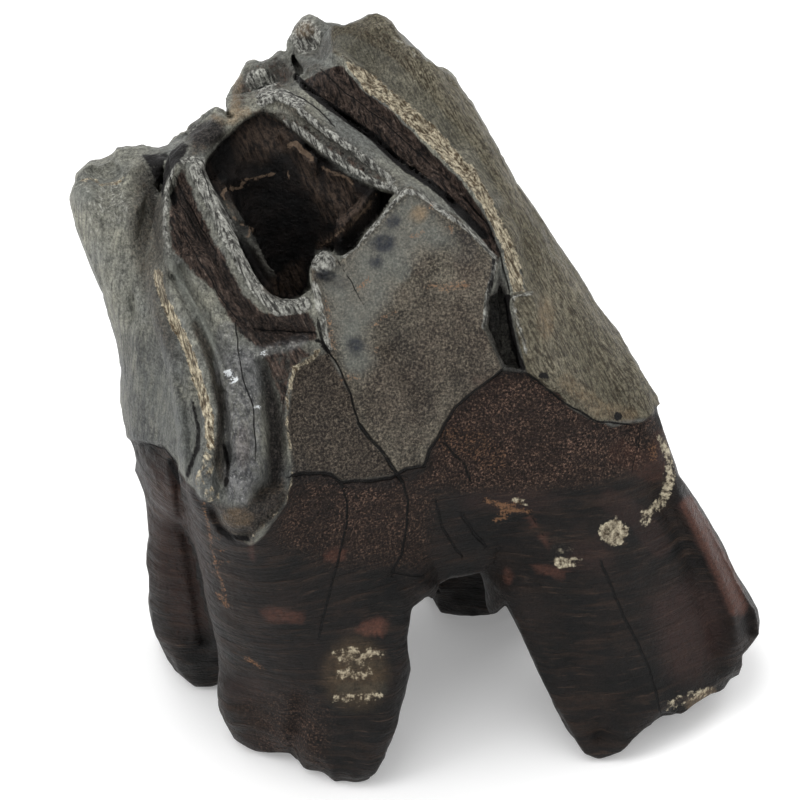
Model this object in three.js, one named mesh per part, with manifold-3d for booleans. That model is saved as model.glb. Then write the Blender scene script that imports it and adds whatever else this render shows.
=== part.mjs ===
// A fossil upper cheek tooth of a woolly rhinoceros, standing on its four broken roots.
//
// The tooth grew as one piece, so it is one mesh. A trunk with an arch under it carries four
// roots. Above the trunk the crown leans to the tongue side and away from the viewer, and is
// worn off at the top. It has two lobes on the tongue side with a valley between them, a deep
// pit behind a broken enamel plate, and a long outer wall with a split beside it.
//
// Millimetres, +Z up. -Y is the side with the pit and the plate, -X the tongue side with the
// two lobes, and +X the cheek side with the long outer wall. The feet stand at z = 0.

import * as THREE from "three";
import { mergeVertices } from "three/addons/utils/BufferGeometryUtils.js";
import Module from "manifold-3d";

const wasm = await Module();
wasm.setup();

const CUT_TOP = 100; // higher than any part of the tooth
const WEAR_STEP = 2.5; // size of the squares of the worn surface
const CREST = 8; // depth of a crest into the crown

// Outlines of trunk and crown, from the arch up to the chewing surface, seen from above and
// against the clock. Each starts at the corner of the near lobe.
const bodyOutlines = [
  { z: 25, points: [[-16, -15], [-6, -13], [6, -11.5], [16, -7], [25, 4], [25, 14], [17, 25],
    [2, 27], [-14, 18], [-24, 9], [-26, 0], [-22, -9]] },
  { z: 33, points: [[-19, -20.5], [-7, -17.2], [8, -12], [21, -8], [31, 2], [30, 16], [20, 30],
    [2, 32], [-16, 22], [-29, 11], [-32, 0], [-27, -13]] },
  { z: 42, points: [[-20.5, -22.5], [-7, -17.5], [12, -9.5], [25, -6.5], [31.5, 2], [29.5, 16],
    [20, 31], [2, 34], [-18, 24], [-32.5, 12], [-34.5, 1], [-28, -14]] },
  { z: 52, points: [[-21, -19], [-8, -15], [11, -8.5], [19.5, -6], [24.5, 2.5], [23.5, 17],
    [15, 31], [-1, 34], [-19, 26], [-33, 13], [-35, 2], [-28.5, -11]] },
  { z: 64, points: [[-22, -11.5], [-9, -9], [5, -5], [12.5, -2], [16.3, 5.5], [16, 18], [9, 31],
    [-5, 35], [-21, 28], [-34, 16], [-38, 4], [-29.5, -6]] },
  { z: 76, points: [[-24, -3], [-12, -1], [-2, 1], [4, 5], [8.6, 11.5], [8, 21], [1, 32],
    [-9, 36], [-22, 31], [-34, 19], [-41, 9], [-30.5, 0]] },
  { z: 90, points: [[-27, 4], [-18, 8], [-12, 10], [-9, 14], [-3.6, 19.5], [-3, 26], [-8, 33],
    [-14, 37], [-24, 33], [-34, 22], [-43, 13], [-32, 6]] },
];

// Folds that run down the two lobes: centre x and y, half widths a and b, turn in degrees.
const folds = {
  farLobe: [
    { z: 38, x: -25, y: 4, a: 9.5, b: 10, turn: 20 },
    { z: 52, x: -26.5, y: 5, a: 9.5, b: 9.5, turn: 20 },
    { z: 64, x: -30.5, y: 8, a: 9, b: 9, turn: 20 },
    { z: 80, x: -34, y: 12, a: 7, b: 8, turn: 20 },
  ],
  nearLobe: [
    { z: 36, x: -18.5, y: -15, a: 7, b: 8.5, turn: 0 },
    { z: 46, x: -19, y: -15, a: 6.5, b: 8, turn: 0 },
    { z: 58, x: -21, y: -9, a: 6.5, b: 7, turn: 10 },
    { z: 68, x: -23.5, y: -3, a: 5.6, b: 6, turn: 20 },
    { z: 84, x: -26, y: 4, a: 3.8, b: 5, turn: 20 },
  ],
  outerRoll: [
    { z: 37, x: -23, y: -14, a: 2, b: 3, turn: 0 },
    { z: 43, x: -24.5, y: -18.5, a: 2.6, b: 3.6, turn: 0 },
    { z: 50, x: -25, y: -16.5, a: 2, b: 3.2, turn: 5 },
    { z: 58, x: -26.6, y: -12, a: 2, b: 3, turn: 10 },
    { z: 64, x: -28.8, y: -7.5, a: 1.9, b: 2.6, turn: 20 },
    { z: 68, x: -30, y: -4, a: 1.2, b: 1.8, turn: 20 },
  ],
  innerFold: [
    { z: 33, x: -18, y: -16, a: 3.4, b: 4, turn: 0 },
    { z: 38, x: -18.6, y: -19.5, a: 4, b: 4, turn: 0 },
    { z: 44, x: -18.8, y: -20.5, a: 3.6, b: 4, turn: 0 },
    { z: 54, x: -19.6, y: -15.5, a: 3, b: 3.4, turn: 0 },
    { z: 62, x: -21, y: -10, a: 2.4, b: 3, turn: 0 },
  ],
  endStyle: [
    { z: 48, x: 16, y: -3.5, a: 2, b: 3, turn: 20 },
    { z: 55, x: 15.8, y: -2, a: 2.1, b: 3.2, turn: 20 },
    { z: 61, x: 15.2, y: -0.5, a: 1.9, b: 2.6, turn: 20 },
  ],
};

// Heights of the worn and broken top at spots x, y. The surface between them is blended.
const wearSpots = [
  [-41, 8, 70.5], [-39, 10, 72.5], [-36.5, 6, 72], [-37, 10, 71], [-35.5, 16, 72],
    [-32.5, 16, 72], [-31, 20, 69],
  [-33, 9, 72.5], [-28, 24, 68], [-25.5, 27, 69], [-22.3, 24, 68], [-21.5, 32, 70], [-18.5, 32, 72],
  [-14.4, 34, 76], [-8.4, 32, 78], [-4.5, 27, 84], [-2, 25, 85], [2, 20, 83.5], [6, 16, 82],
    [-12, 20, 77],
  [-9, 19, 81], [-4.4, 15, 79.5], [0, 12, 77.6], [4.8, 8, 74.4], [9.3, 5.5, 71.9],
    [11.7, 3.5, 68.6], [14, 1, 65],
  [15, -1, 62], [19, 0, 62], [11.8, -2, 65.5], [6.3, 0, 71.8], [0.6, 1.5, 75.2], [-3, 0, 72.6],
    [-6.8, -3, 68.6],
  [-10, -6, 67], [-13.6, -9, 64.7], [-16, -7, 67.5], [-19, -5, 70.5], [-22, -2, 74.5], [-26.5, 3, 75],
  [-29, -4, 68], [-26, -1, 75], [-25, 1, 76.5], [-22.8, -5, 71.5], [-26, -5, 69.5],
    [-21.8, 9, 76], [-17, 13, 78], [-8.8, 10, 77], [-3.8, 6.5, 75],
];

// Crests standing on the worn top along a line of stations: half width of the top, and its height.
const crests = {
  outerWall: [
    { x: -13, y: 18.8, top: 1, z: 79 },
    { x: -8.5, y: 18.5, top: 2, z: 83.6 },
    { x: -4, y: 15.5, top: 2.2, z: 81.7 },
    { x: 1, y: 12, top: 2.2, z: 79 },
    { x: 6, y: 8, top: 2.2, z: 75.6 },
    { x: 10.5, y: 4.8, top: 1.8, z: 71.6 },
    { x: 13.5, y: 1.6, top: 1.5, z: 67.2 },
    { x: 15, y: -0.6, top: 1.2, z: 63 },
  ],
  middleRidge: [
    { x: -19.5, y: 12.5, top: 1.6, z: 79.6 },
    { x: -16, y: 14, top: 2, z: 81.2 },
    { x: -12, y: 12, top: 2.3, z: 81.6 },
    { x: -8, y: 9.3, top: 2.1, z: 79.8 },
    { x: -3.5, y: 6.2, top: 1.8, z: 77.6 },
    { x: 1, y: 3.6, top: 1.3, z: 75.2 },
    { x: 6.5, y: 0.8, top: 1, z: 72 },
  ],
  pitWall: [
    { x: -28, y: -6, top: 1.8, z: 68.5 },
    { x: -27, y: -1, top: 2.3, z: 75.4 },
    { x: -25.4, y: 3.6, top: 2, z: 77.8 },
    { x: -22.8, y: 8.4, top: 1.5, z: 78.8 },
    { x: -19.5, y: 13, top: 1.6, z: 79.8 },
  ],
  farRidge: [
    { x: -35, y: 14, top: 2, z: 73 },
    { x: -31.5, y: 18, top: 1.6, z: 70.5 },
    { x: -28, y: 23, top: 1.8, z: 69.6 },
    { x: -24.5, y: 26.5, top: 2, z: 72.4 },
    { x: -22.4, y: 27.5, top: 1.4, z: 69.5 },
  ],
  farKnobs: [
    { x: -22, y: 31, top: 1.2, z: 71 },
    { x: -18.6, y: 32, top: 2, z: 75.6 },
    { x: -15.6, y: 32.5, top: 1.6, z: 75.6 },
    { x: -13.4, y: 33.5, top: 1.8, z: 78.6 },
    { x: -11, y: 34, top: 2, z: 80.6 },
    { x: -7.5, y: 31.5, top: 2, z: 79.6 },
  ],
};

const pit = [
  { z: 50, points: [[-16, -2], [-12, -4], [-8, -1], [-8, 2], [-12, 5], [-16, 3]] },
  { z: 60, points: [[-18, -4], [-13, -6.5], [-7, -3.5], [-4, 0], [-9, 4.5], [-17, 5]] },
  { z: 68, points: [[-20, -3.5], [-13.5, -9.5], [-8, -6], [-2.5, -0.7], [-9, 5], [-19, 7]] },
  { z: 78, points: [[-23, -1], [-14, -11], [-7, -6], [-0.5, 1.2], [-9, 6.5], [-20, 9.5]] },
  { z: 92, points: [[-24, -1], [-14, -15], [-5, -8], [0, 1], [-9, 7], [-20, 11]] },
];

// Trenches along a line of stations: half widths at the top and at the floor, and its height.
const trenches = {
  valley: [
    { x: -42, y: -10, top: 4, floor: 2, z: 46 },
    { x: -32.6, y: -3.5, top: 1.8, floor: 0.8, z: 50 },
    { x: -29.6, y: 5.5, top: 2, floor: 0.9, z: 55 },
    { x: -25.5, y: 15, top: 3.4, floor: 1.5, z: 57 },
    { x: -19, y: 21, top: 3.6, floor: 1.5, z: 60 },
    { x: -13, y: 25, top: 2.2, floor: 1, z: 65 },
  ],
  split: [
    { x: -16, y: 18.5, top: 1.3, floor: 0.6, z: 73 },
    { x: -10.5, y: 15.2, top: 1.1, floor: 0.5, z: 71 },
    { x: -5.5, y: 11.8, top: 1.1, floor: 0.5, z: 69 },
    { x: 0.5, y: 7.8, top: 1, floor: 0.4, z: 67 },
    { x: 6, y: 4, top: 0.8, floor: 0.3, z: 66 },
    { x: 11, y: 0.8, top: 0.5, floor: 0.2, z: 64 },
  ],
  gap: [
    { x: 12.6, y: -9, top: 1.8, floor: 0.3, z: 55 },
    { x: 12.8, y: -4, top: 1.6, floor: 0.5, z: 56 },
    { x: 12.4, y: 0.5, top: 0.7, floor: 0.3, z: 60 },
  ],
};

const roots = {
  nearTongue: [
    [[-21, -15, -1], [-15, -17.5, -1], [-9, -22, -1], [-4.5, -23.5, -1], [-1.5, -19, -1],
      [-3, -11, -1], [-9, -6, -1], [-17, -6.5, -1]],
    [[-22.5, -16.5, 5], [-16, -20, 5], [-9, -24.5, 5], [-3, -24, 5], [0, -18, 5], [-1, -10, 5],
      [-9, -4, 5], [-19, -5, 5]],
    [[-24, -17, 18], [-17, -21.5, 18], [-9, -22, 18], [-2, -20.5, 18], [1.2, -15, 18],
      [0, -7, 18], [-9, -1, 18], [-20, -3, 18]],
    [[-25.5, -17, 30], [-18, -22.5, 30], [-9, -20, 30], [0, -16, 29], [5, -11, 28], [3, -4, 28],
      [-9, 2, 30], [-22, -2, 30]],
    [[-26, -16, 44], [-19, -21.5, 44], [-8, -17, 44], [2, -12.5, 44], [8, -9, 44], [5, 0, 44],
      [-9, 4, 44], [-22, 0, 44]],
  ],
  farTongue: [
    [[-31.5, 6, -1], [-32, 1, -1], [-29, -3, -1], [-23, -3.5, -1], [-19, 1, -1], [-20, 9, -1],
      [-25, 13, -1]],
    [[-34, 7, 6], [-34, 0, 6], [-29.5, -5, 6], [-22, -6, 6], [-17, 0, 6], [-18, 11, 6], [-25, 16, 6]],
    [[-34, 8, 20], [-33.5, -1, 20], [-28, -8, 20], [-20, -8, 20], [-15, 0, 20], [-17, 14, 20],
      [-25, 18, 20]],
    [[-31, 10, 40], [-32, 1, 40], [-26, -9, 40], [-18, -8, 40], [-12, 2, 40], [-14, 16, 40],
      [-23, 18, 40]],
  ],
  nearCheek: [
    [[25, -20.5, -2], [31, -18.5, -1], [38, -12.5, 1.5], [46, -5.5, 4], [47, 3.5, 7], [38, 3, 4],
      [29, -5, 0.5], [23, -13, -1.5]],
    [[22, -18, 5], [30, -17.5, 6], [39.5, -10.5, 9], [47.6, -1.5, 11.5], [45.5, 8, 12],
      [37, 7, 10], [27, -1, 7], [19.5, -11, 5]],
    [[17.5, -13.5, 14], [27, -14.5, 16], [37, -8.5, 18], [44, -0.5, 20], [42, 8.5, 21],
      [33, 11, 18], [23, 4, 15], [14, -6, 13.5]],
    [[11, -9, 25], [23, -11, 27], [33.5, -6.5, 29], [38, 0, 30], [36.5, 11, 31], [28, 16, 28],
      [16, 9, 26], [8, 0, 24]],
    [[11, -6.5, 43], [21, -4.5, 44], [27, -2.5, 46], [29.6, 3, 47], [27.5, 14, 46], [22, 17, 42],
      [10, 10, 40], [5, 0, 40]],
  ],
  farCheek: [
    [[5, 13, -1], [10, 11, -1], [17, 12, -1], [23, 16, -1], [23, 23, -1], [16, 27, -1],
      [8, 25, -1], [4, 19, -1]],
    [[3.5, 12, 5], [10, 9, 5], [18, 10, 5], [26, 15, 5], [26, 25, 5], [16, 30, 5], [6, 28, 5],
      [2, 19, 5]],
    [[1, 10, 20], [10, 6, 20], [21, 8, 20], [28, 14, 20], [27, 26, 20], [16, 31, 20], [4, 30, 20],
      [-2, 19, 20]],
    [[-1, 9, 38], [10, 5, 38], [21, 7, 38], [27, 14, 38], [25, 24, 38], [15, 29, 38], [3, 29, 38],
      [-4, 19, 38]],
  ],
};

function signedVolume(position, index) {
  const [a, b, c] = [new THREE.Vector3(), new THREE.Vector3(), new THREE.Vector3()];
  let sum = 0;
  for (let i = 0; i < index.length; i += 3) {
    a.fromArray(position, 3 * index[i]);
    b.fromArray(position, 3 * index[i + 1]);
    c.fromArray(position, 3 * index[i + 2]);
    sum += a.dot(b.cross(c));
  }
  return sum / 6;
}

function asSolid(geometry) {
  const merged = mergeVertices(geometry, 1e-4);
  const position = new Float32Array(merged.attributes.position.array);
  let index = new Uint32Array(merged.index.array);
  if (signedVolume(position, index) < 0) index = index.reverse();
  return new wasm.Manifold(new wasm.Mesh({ numProp: 3, vertProperties: position, triVerts: index }));
}

// A closed surface over rings with equal counts of points, with a fan over each end ring.
function skin(rings) {
  const count = rings[0].length;
  const middle = (ring) => ring.reduce((sum, p) => sum.add(p), new THREE.Vector3()).divideScalar(count);
  const points = [...rings.flat(), middle(rings[0]), middle(rings.at(-1))];
  const low = rings.length * count;
  const last = low - count;
  const faces = [];
  for (let i = 0; i < count; i++) {
    const j = (i + 1) % count;
    for (let a = 0; a < last; a += count) {
      const b = a + count;
      faces.push(a + i, a + j, b + j, a + i, b + j, b + i);
    }
    faces.push(low, j, i, low + 1, last + i, last + j);
  }
  return new THREE.BufferGeometry().setFromPoints(points).setIndex(faces);
}

// Rings between the given ones, each point on a smooth curve through its fellows.
function between(rings, rows) {
  const tracks = rings[0].map(
    (_, i) => new THREE.CatmullRomCurve3(rings.map((ring) => ring[i]), false, "centripetal"),
  );
  return Array.from({ length: rows + 1 }, (_, row) => tracks.map((track) => track.getPoint(row / rows)));
}

function closedRing(points, sides) {
  const curve = new THREE.CatmullRomCurve3(points.map((p) => new THREE.Vector3(...p)), true, "centripetal");
  return Array.from({ length: sides }, (_, i) => curve.getPoint(i / sides));
}

const levelRing = ({ z, points }, sides) => closedRing(points.map(([x, y]) => [x, y, z]), sides);

function ovalRing({ z, x, y, a, b, turn }, sides) {
  const angle = THREE.MathUtils.degToRad(turn);
  const outline = new THREE.EllipseCurve(x, y, a, b, 0, 2 * Math.PI, false, angle);
  const corners = Array.from({ length: sides }, (_, i) => outline.getPoint(i / sides));
  return corners.map((p) => new THREE.Vector3(p.x, p.y, z));
}

const loft = (levels, makeRing, sides, rows) => {
  const rings = levels.map((level) => makeRing(level, sides));
  return asSolid(skin(between(rings, rows)));
};

function trench(stations) {
  const stops = stations.map(({ x, y }) => new THREE.Vector3(x, y, 0));
  const path = new THREE.CatmullRomCurve3(stops, false, "centripetal");
  const rings = stations.map(({ x, y, top, floor, z }, i) => {
    const along = path.getTangent(i / (stations.length - 1));
    const at = (side, height) => new THREE.Vector3(x - along.y * side, y + along.x * side, height);
    return [at(-top, CUT_TOP), at(-floor, z), at(floor, z), at(top, CUT_TOP)];
  });
  return asSolid(skin(between(rings, 10)));
}

function crest(stations) {
  const stops = stations.map(({ x, y }) => new THREE.Vector3(x, y, 0));
  const path = new THREE.CatmullRomCurve3(stops, false, "centripetal");
  const rings = stations.map(({ x, y, top, z }, i) => {
    const along = path.getTangent(i / (stations.length - 1));
    const at = (side, height) => new THREE.Vector3(x - along.y * side, y + along.x * side, height);
    return [
      at(-top - 0.8, z - CREST),
      at(-top, z - 0.9),
      at(0, z),
      at(top, z - 0.9),
      at(top + 0.8, z - CREST),
    ];
  });
  return asSolid(skin(between(rings, 14)));
}

function wearHeight(x, y) {
  let sum = 0;
  let weights = 0;
  for (const [sx, sy, sz] of wearSpots) {
    const weight = 1 / ((x - sx) ** 2 + (y - sy) ** 2 + 1) ** 2;
    sum += weight * sz;
    weights += weight;
  }
  return sum / weights;
}

// Everything above the worn surface: a sheet of squares bent to it, closed by a flat top.
function aboveWear() {
  const [left, right, near, far] = [-52, 48, -34, 46];
  const rows = [];
  for (let y = near; y <= far; y += WEAR_STEP) {
    const row = [];
    for (let x = left; x <= right; x += WEAR_STEP) row.push(new THREE.Vector3(x, y, wearHeight(x, y)));
    row.push(new THREE.Vector3(right, y, CUT_TOP), new THREE.Vector3(left, y, CUT_TOP));
    rows.push(row);
  }
  return asSolid(skin(rows));
}

let tooth = loft(bodyOutlines, levelRing, 44, 20);
for (const levels of Object.values(folds)) tooth = tooth.add(loft(levels, ovalRing, 20, 10));
tooth = tooth.subtract(aboveWear());
for (const stations of Object.values(crests)) tooth = tooth.add(crest(stations));
for (const rings of Object.values(roots)) tooth = tooth.add(loft(rings, closedRing, 28, 12));
tooth = tooth.trimByPlane([0, 0, 1], 0);
tooth = tooth.subtract(loft(pit, levelRing, 28, 10));
for (const stations of Object.values(trenches)) tooth = tooth.subtract(trench(stations));

const mesh = tooth.getMesh();
const shape = new THREE.BufferGeometry();
shape.setAttribute("position", new THREE.BufferAttribute(mesh.vertProperties, 3));
shape.setIndex(new THREE.BufferAttribute(mesh.triVerts, 1));
shape.computeBoundingBox();
const centre = shape.boundingBox.getCenter(new THREE.Vector3());
shape.translate(-centre.x, -centre.y, 0);
shape.computeVertexNormals();

const fossil = new THREE.MeshStandardMaterial({ color: 0x4a443c, roughness: 0.55, metalness: 0 });
const model = new THREE.Group();
const toothMesh = new THREE.Mesh(shape, fossil);
toothMesh.name = "tooth";
model.add(toothMesh);

export default model;
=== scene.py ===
"""A fossil woolly rhinoceros tooth, standing on its four roots on a pale floor.

The CAD solid gives the form. Here its facets are smoothed in a distance grid, the outline is
fitted to the photograph's, and folds, steps, pits and blades are worked into the surface.
Lines seen in the photograph are lists of pixel positions in its 800 x 800 frame. They are
thrown onto the tooth from the camera's place. Work is in millimetres, in the row frame.
"""

import math

import bpy
import numpy as np
import openvdb as vdb
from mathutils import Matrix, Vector


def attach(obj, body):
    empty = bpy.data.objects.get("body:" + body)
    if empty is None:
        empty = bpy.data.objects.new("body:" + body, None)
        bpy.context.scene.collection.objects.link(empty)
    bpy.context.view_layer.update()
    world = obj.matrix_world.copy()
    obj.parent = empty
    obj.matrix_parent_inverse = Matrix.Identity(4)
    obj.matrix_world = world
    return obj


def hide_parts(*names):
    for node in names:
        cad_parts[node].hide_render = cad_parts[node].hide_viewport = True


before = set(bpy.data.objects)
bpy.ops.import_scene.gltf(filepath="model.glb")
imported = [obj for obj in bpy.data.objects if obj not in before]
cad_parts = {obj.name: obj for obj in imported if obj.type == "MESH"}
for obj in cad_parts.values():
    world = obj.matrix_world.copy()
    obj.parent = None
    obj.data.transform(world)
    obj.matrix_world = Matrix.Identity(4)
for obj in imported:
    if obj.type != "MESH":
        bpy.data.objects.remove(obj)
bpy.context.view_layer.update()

VOXEL = 0.32
BAND = 14  # half width of the distance band, in voxels
TRIANGLES = 192000  # in the whole mesh
HIDDEN_TRIANGLES = 52000  # of those, on the sides that the photograph doesn't show
HIDDEN_BEHIND = 4.0  # millimetres behind the nearest surface that count as hidden

# The photograph's camera.
CENTRING = np.array([-3.71, -6.0, 0.0])  # from the laid-out position to the row frame
ELEVATION = math.radians(35.0)
DISTANCE = 420.0
FOCAL_PX = 3276.0
FRAME_PX = 800.0
AIM = np.array([0.0, 0.0, 44.0]) + CENTRING
FORWARD = np.array([0.0, math.cos(ELEVATION), -math.sin(ELEVATION)])
UPWARD = np.array([0.0, math.sin(ELEVATION), math.cos(ELEVATION)])
RIGHTWARD = np.array([1.0, 0.0, 0.0])
EYE = AIM - FORWARD * DISTANCE
PX_PER_MM = FOCAL_PX / DISTANCE


def to_photo(points):
    """Pixel columns, pixel rows and depths of points."""
    d = points - EYE
    depth = d @ FORWARD
    u = FRAME_PX / 2 + FOCAL_PX * (d @ RIGHTWARD) / depth
    v = FRAME_PX / 2 - FOCAL_PX * (d @ UPWARD) / depth
    return u, v, depth


# Lines in the photograph.
OUTLINE = [
    (72, 196), (74, 191), (78, 183), (79, 175), (83, 170), (90, 165), (101, 164), (110, 160),
    (115, 156), (119, 151), (127, 148.5), (139, 148.5), (152, 151), (162, 151), (170, 148),
    (176, 140.5), (181.5, 136.5), (189, 137), (191, 130), (201, 121), (211, 114), (216, 112),
    (221, 115), (228, 122), (230, 123), (236, 120), (230, 108), (229, 97), (233, 89), (241, 79),
    (245, 69), (248, 64), (254, 62), (261, 65), (269, 62), (279, 53.5), (286, 57), (289, 54),
    (289, 43), (296, 30), (303, 21), (309, 17), (316, 19), (324, 24), (332, 28), (343, 30),
    (352, 25), (362, 21), (370, 17.5), (377, 17), (384, 20), (391, 25.5), (395, 33), (403, 42),
    (411, 50), (419, 55), (424, 61), (434, 69), (442, 72.5), (448, 76.5), (453, 81), (459, 91),
    (470, 105), (484, 130), (502, 163), (515, 186), (535, 214), (553, 242), (576, 275), (594, 306),
    (617, 334), (632, 362), (655, 397), (658, 412), (666, 436), (675, 464), (678, 474), (690, 492),
    (709, 522), (724, 549), (739, 579), (757, 609), (759, 622), (758, 635), (742, 655), (742, 665),
    (739, 675), (729, 688), (711, 693), (693, 704), (681, 715), (663, 716), (648, 727), (632, 739),
    (622, 752), (610, 758), (599, 762), (584, 755), (566, 729), (552, 700), (538, 670), (515, 619),
    (506, 603), (496, 612), (482, 616), (471, 617), (454, 618), (441, 612), (434, 600), (428, 594),
    (412, 609), (407, 637), (410, 670), (402, 701), (394, 732), (384, 757), (369, 783), (348, 789),
    (331, 785), (305, 770), (290, 753), (249, 752), (229, 737), (217, 711), (213, 706), (190, 682),
    (175, 668), (165, 655), (156, 636), (152, 622), (150, 610), (149, 599), (150, 576),
    (147.5, 565), (147.5, 553), (150, 538), (149, 525), (147.5, 507), (145, 492), (140, 480),
    (134, 463), (126, 452), (123, 438), (121.5, 418), (123, 400), (124, 370), (119, 339),
    (110, 310), (106, 293), (96, 272), (87, 248), (80, 229), (75.5, 213), (72, 202),
]
# The line between enamel above and root below, from the left edge to the right edge.
NECK = [
    (100, 438), (123, 438), (150, 443), (165, 448), (176, 462), (186, 482), (194, 489), (200, 498),
    (213, 507), (222, 525), (235, 539), (250, 545), (262, 536), (275, 522), (287, 504), (290, 484),
    (294, 473), (328, 473), (343, 482), (370, 480), (392, 476), (405, 469), (422, 466), (428, 451),
    (440, 432), (455, 407), (468, 396), (481, 386), (492, 377), (502, 369), (526, 373), (539, 381),
    (546, 389), (558, 393), (566, 404), (579, 412), (596, 421), (611, 426), (629, 424), (644, 422),
    (652, 416), (656, 406), (690, 400),
]
PLATE = [
    (311, 272), (312, 284), (318, 297), (323, 311), (326, 327), (328, 340), (328, 351), (336, 362),
    (342, 375), (345, 385), (351, 394), (359, 424), (387, 459), (403, 482), (410, 480), (424, 470),
    (430, 452), (440, 434), (455, 408), (468, 396), (481, 386), (492, 377), (502, 369), (497, 356),
    (490.5, 343), (487, 334), (482, 327), (486, 318), (484, 307), (485, 295), (489, 287.5),
    (495, 276), (497.6, 265), (494, 256), (487, 248), (478, 240), (468, 229), (460, 219),
    (451, 212.6), (439, 209), (431, 205), (423.5, 198), (417, 190), (411, 186), (404, 189),
    (396, 198), (385, 211), (376, 224), (364.5, 235), (356.5, 249), (344, 256), (339, 262),
    (334, 255), (324, 251), (315, 256), (311, 264),
]
PIT = [
    (200, 170), (207, 184), (216, 200), (224, 217), (232, 236), (240, 256), (248, 272), (257, 287),
    (268, 297), (280, 301), (292, 302), (303, 297), (310, 286), (311, 268), (318, 252), (334, 252),
    (340, 261), (345, 255), (356, 248), (364, 234), (376, 223), (385, 210), (396, 197), (397, 193),
    (384, 190), (372, 186), (348, 174), (324, 155), (309, 142), (296, 131), (285, 122), (274, 115),
    (262, 111), (252, 114), (243, 120), (232, 130), (222, 138), (212, 150), (205, 160),
]
STYLE = [(511, 299), (514, 295), (533, 291), (537, 302), (543, 320), (552, 350), (566, 378), (560, 392),
    (546, 389), (539, 381), (528, 374), (523, 360), (515, 333)]


# The outer wall's face, which has streaks of its own.
WALL = [(332, 52), (372, 74), (412, 107), (452, 146), (492, 201), (519, 262), (526, 291), (512, 294),
    (516, 330), (526, 372), (546, 390), (596, 422), (652, 418), (700, 400), (560, 100), (400, -10),
    (330, 20)]
ROLLS = {  # round-backed folds: line, half width in pixels, height in millimetres
    "outer_roll": ([(164, 268), (171, 288), (183, 314), (195, 342), (205, 370), (211, 400), (211, 428),
        (208, 452), (204, 474), (207, 492)], 11, 1.8),
    "second_fold": ([(169, 258), (182, 285), (196, 315), (209, 341), (219, 364), (223, 384)], 5, 0.8),
    "plate_rim": ([(318, 351), (309, 360), (294, 370), (290, 384), (287, 400), (287, 425), (290, 450),
        (292, 470), (290, 495), (284, 508), (270, 523), (252, 538)], 4, 0.55),
    "tubercle_side": ([(314, 270), (317, 292), (322, 312)], 5, 0.6),
}
FOLDS = {  # line, half width in pixels, height in millimetres
    "middle_fold": ([(230, 372), (236, 400), (240, 430), (241, 460), (241, 486), (243, 500)], 12, 1.1),
    "pit_rim": ([(196, 166), (207, 190), (219, 214), (231, 238), (242, 262), (254, 284), (268, 302),
        (284, 309)], 9, 0.9),
    "lobe_edge": ([(178, 164), (167, 190), (165, 215), (166, 240), (168, 256)], 5, 0.6),
    "notch_step": ([(262, 348), (285, 343), (306, 342)], 4, 0.4),
    "root_ridge": ([(676, 486), (697, 530), (716, 570), (732, 612), (736, 640)], 9, 0.7),
    "wall_crest": ([(332, 52), (350, 62), (372, 74), (392, 90), (412, 107), (430, 122), (452, 146),
        (474, 168), (492, 201), (508, 232), (519, 262), (526, 291)], 7, 0.5),
    "enamel_lip": ([(345, 62), (352, 77), (366, 92), (385, 107), (400, 117), (420, 136), (440, 156),
        (462, 180), (478, 200), (492, 224), (501, 246), (510, 280)], 5, 0.5),
    "middle_crest": ([(268, 99), (285, 98), (300, 108), (318, 121), (336, 134), (354, 146), (372, 158),
        (388, 172), (402, 183)], 9, 0.6),
}
GROOVES = {
    "beside_roll": ([(173, 276), (189, 306), (203, 336), (213, 362), (220, 390), (225, 415), (227, 440),
        (229, 462)], 4.5, 1.5),
    "roll_end": ([(224, 462), (229, 452), (236, 462)], 5, 0.8),
    "beside_middle": ([(261, 366), (266, 384), (271, 405), (273, 432), (274, 460), (270, 482),
        (258, 492)], 9, 1.7),
    "lobe_hollow": ([(182, 180), (194, 212), (209, 248), (226, 282), (246, 312), (270, 330),
        (296, 334)], 14, 1.0),
    "crown_seam": ([(178, 376), (186, 400), (190, 430), (192, 455), (188, 478)], 5, 0.7),
    "root_flute": ([(690, 492), (712, 530), (731, 570), (747, 606), (750, 632)], 8, 0.9),
    "root_flute_2": ([(655, 480), (672, 520), (690, 565), (706, 610), (716, 650)], 9, 0.5),
    "foot_cleft": ([(300, 700), (296, 730), (292, 760)], 10, 0.8),
    "tip_hollow": ([(214, 512), (222, 527), (234, 535), (248, 535)], 5, 0.7),
    "crest_dark": ([(212, 150), (224, 138), (238, 128)], 4, 0.4),
    "under_lip": ([(338, 70), (350, 84), (368, 99), (386, 114), (402, 128), (420, 146), (440, 168),
        (460, 190), (478, 212), (492, 236)], 5, 0.8),
    "plate_fold": ([(388, 350), (400, 372), (418, 398)], 9, 0.4),
    "before_second": ([(180, 270), (200, 304), (216, 332), (226, 356), (231, 376)], 5, 0.9),
    "lobe_streak": ([(196, 176), (206, 204), (222, 236), (240, 268), (258, 300)], 2.5, 0.35),
    "lobe_streak_2": ([(186, 190), (198, 226), (216, 262), (238, 300), (262, 322)], 2.5, 0.4),
    "lobe_streak_3": ([(176, 204), (184, 240), (202, 276), (224, 312), (240, 340)], 2.5, 0.35),
    "lobe_pits": ([(172, 190), (174, 206)], 4, 0.9),
    "notch_line": ([(255, 330), (280, 331), (312, 332)], 2, 0.5),
    "notch_line_2": ([(215, 309), (233, 317), (252, 330)], 1.8, 0.4),
    "crest_fold": ([(286, 90), (300, 96), (316, 106), (330, 120), (344, 132)], 3, 0.5),
    "crest_fold_2": ([(300, 118), (316, 134), (336, 148), (356, 160), (380, 178)], 3, 0.5),
    "tongue_root": ([(176, 462), (182, 500), (188, 540), (196, 590), (204, 640)], 7, 0.8),
    "below_tubercle": ([(320, 277), (330, 276)], 8, 0.6),
}
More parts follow.
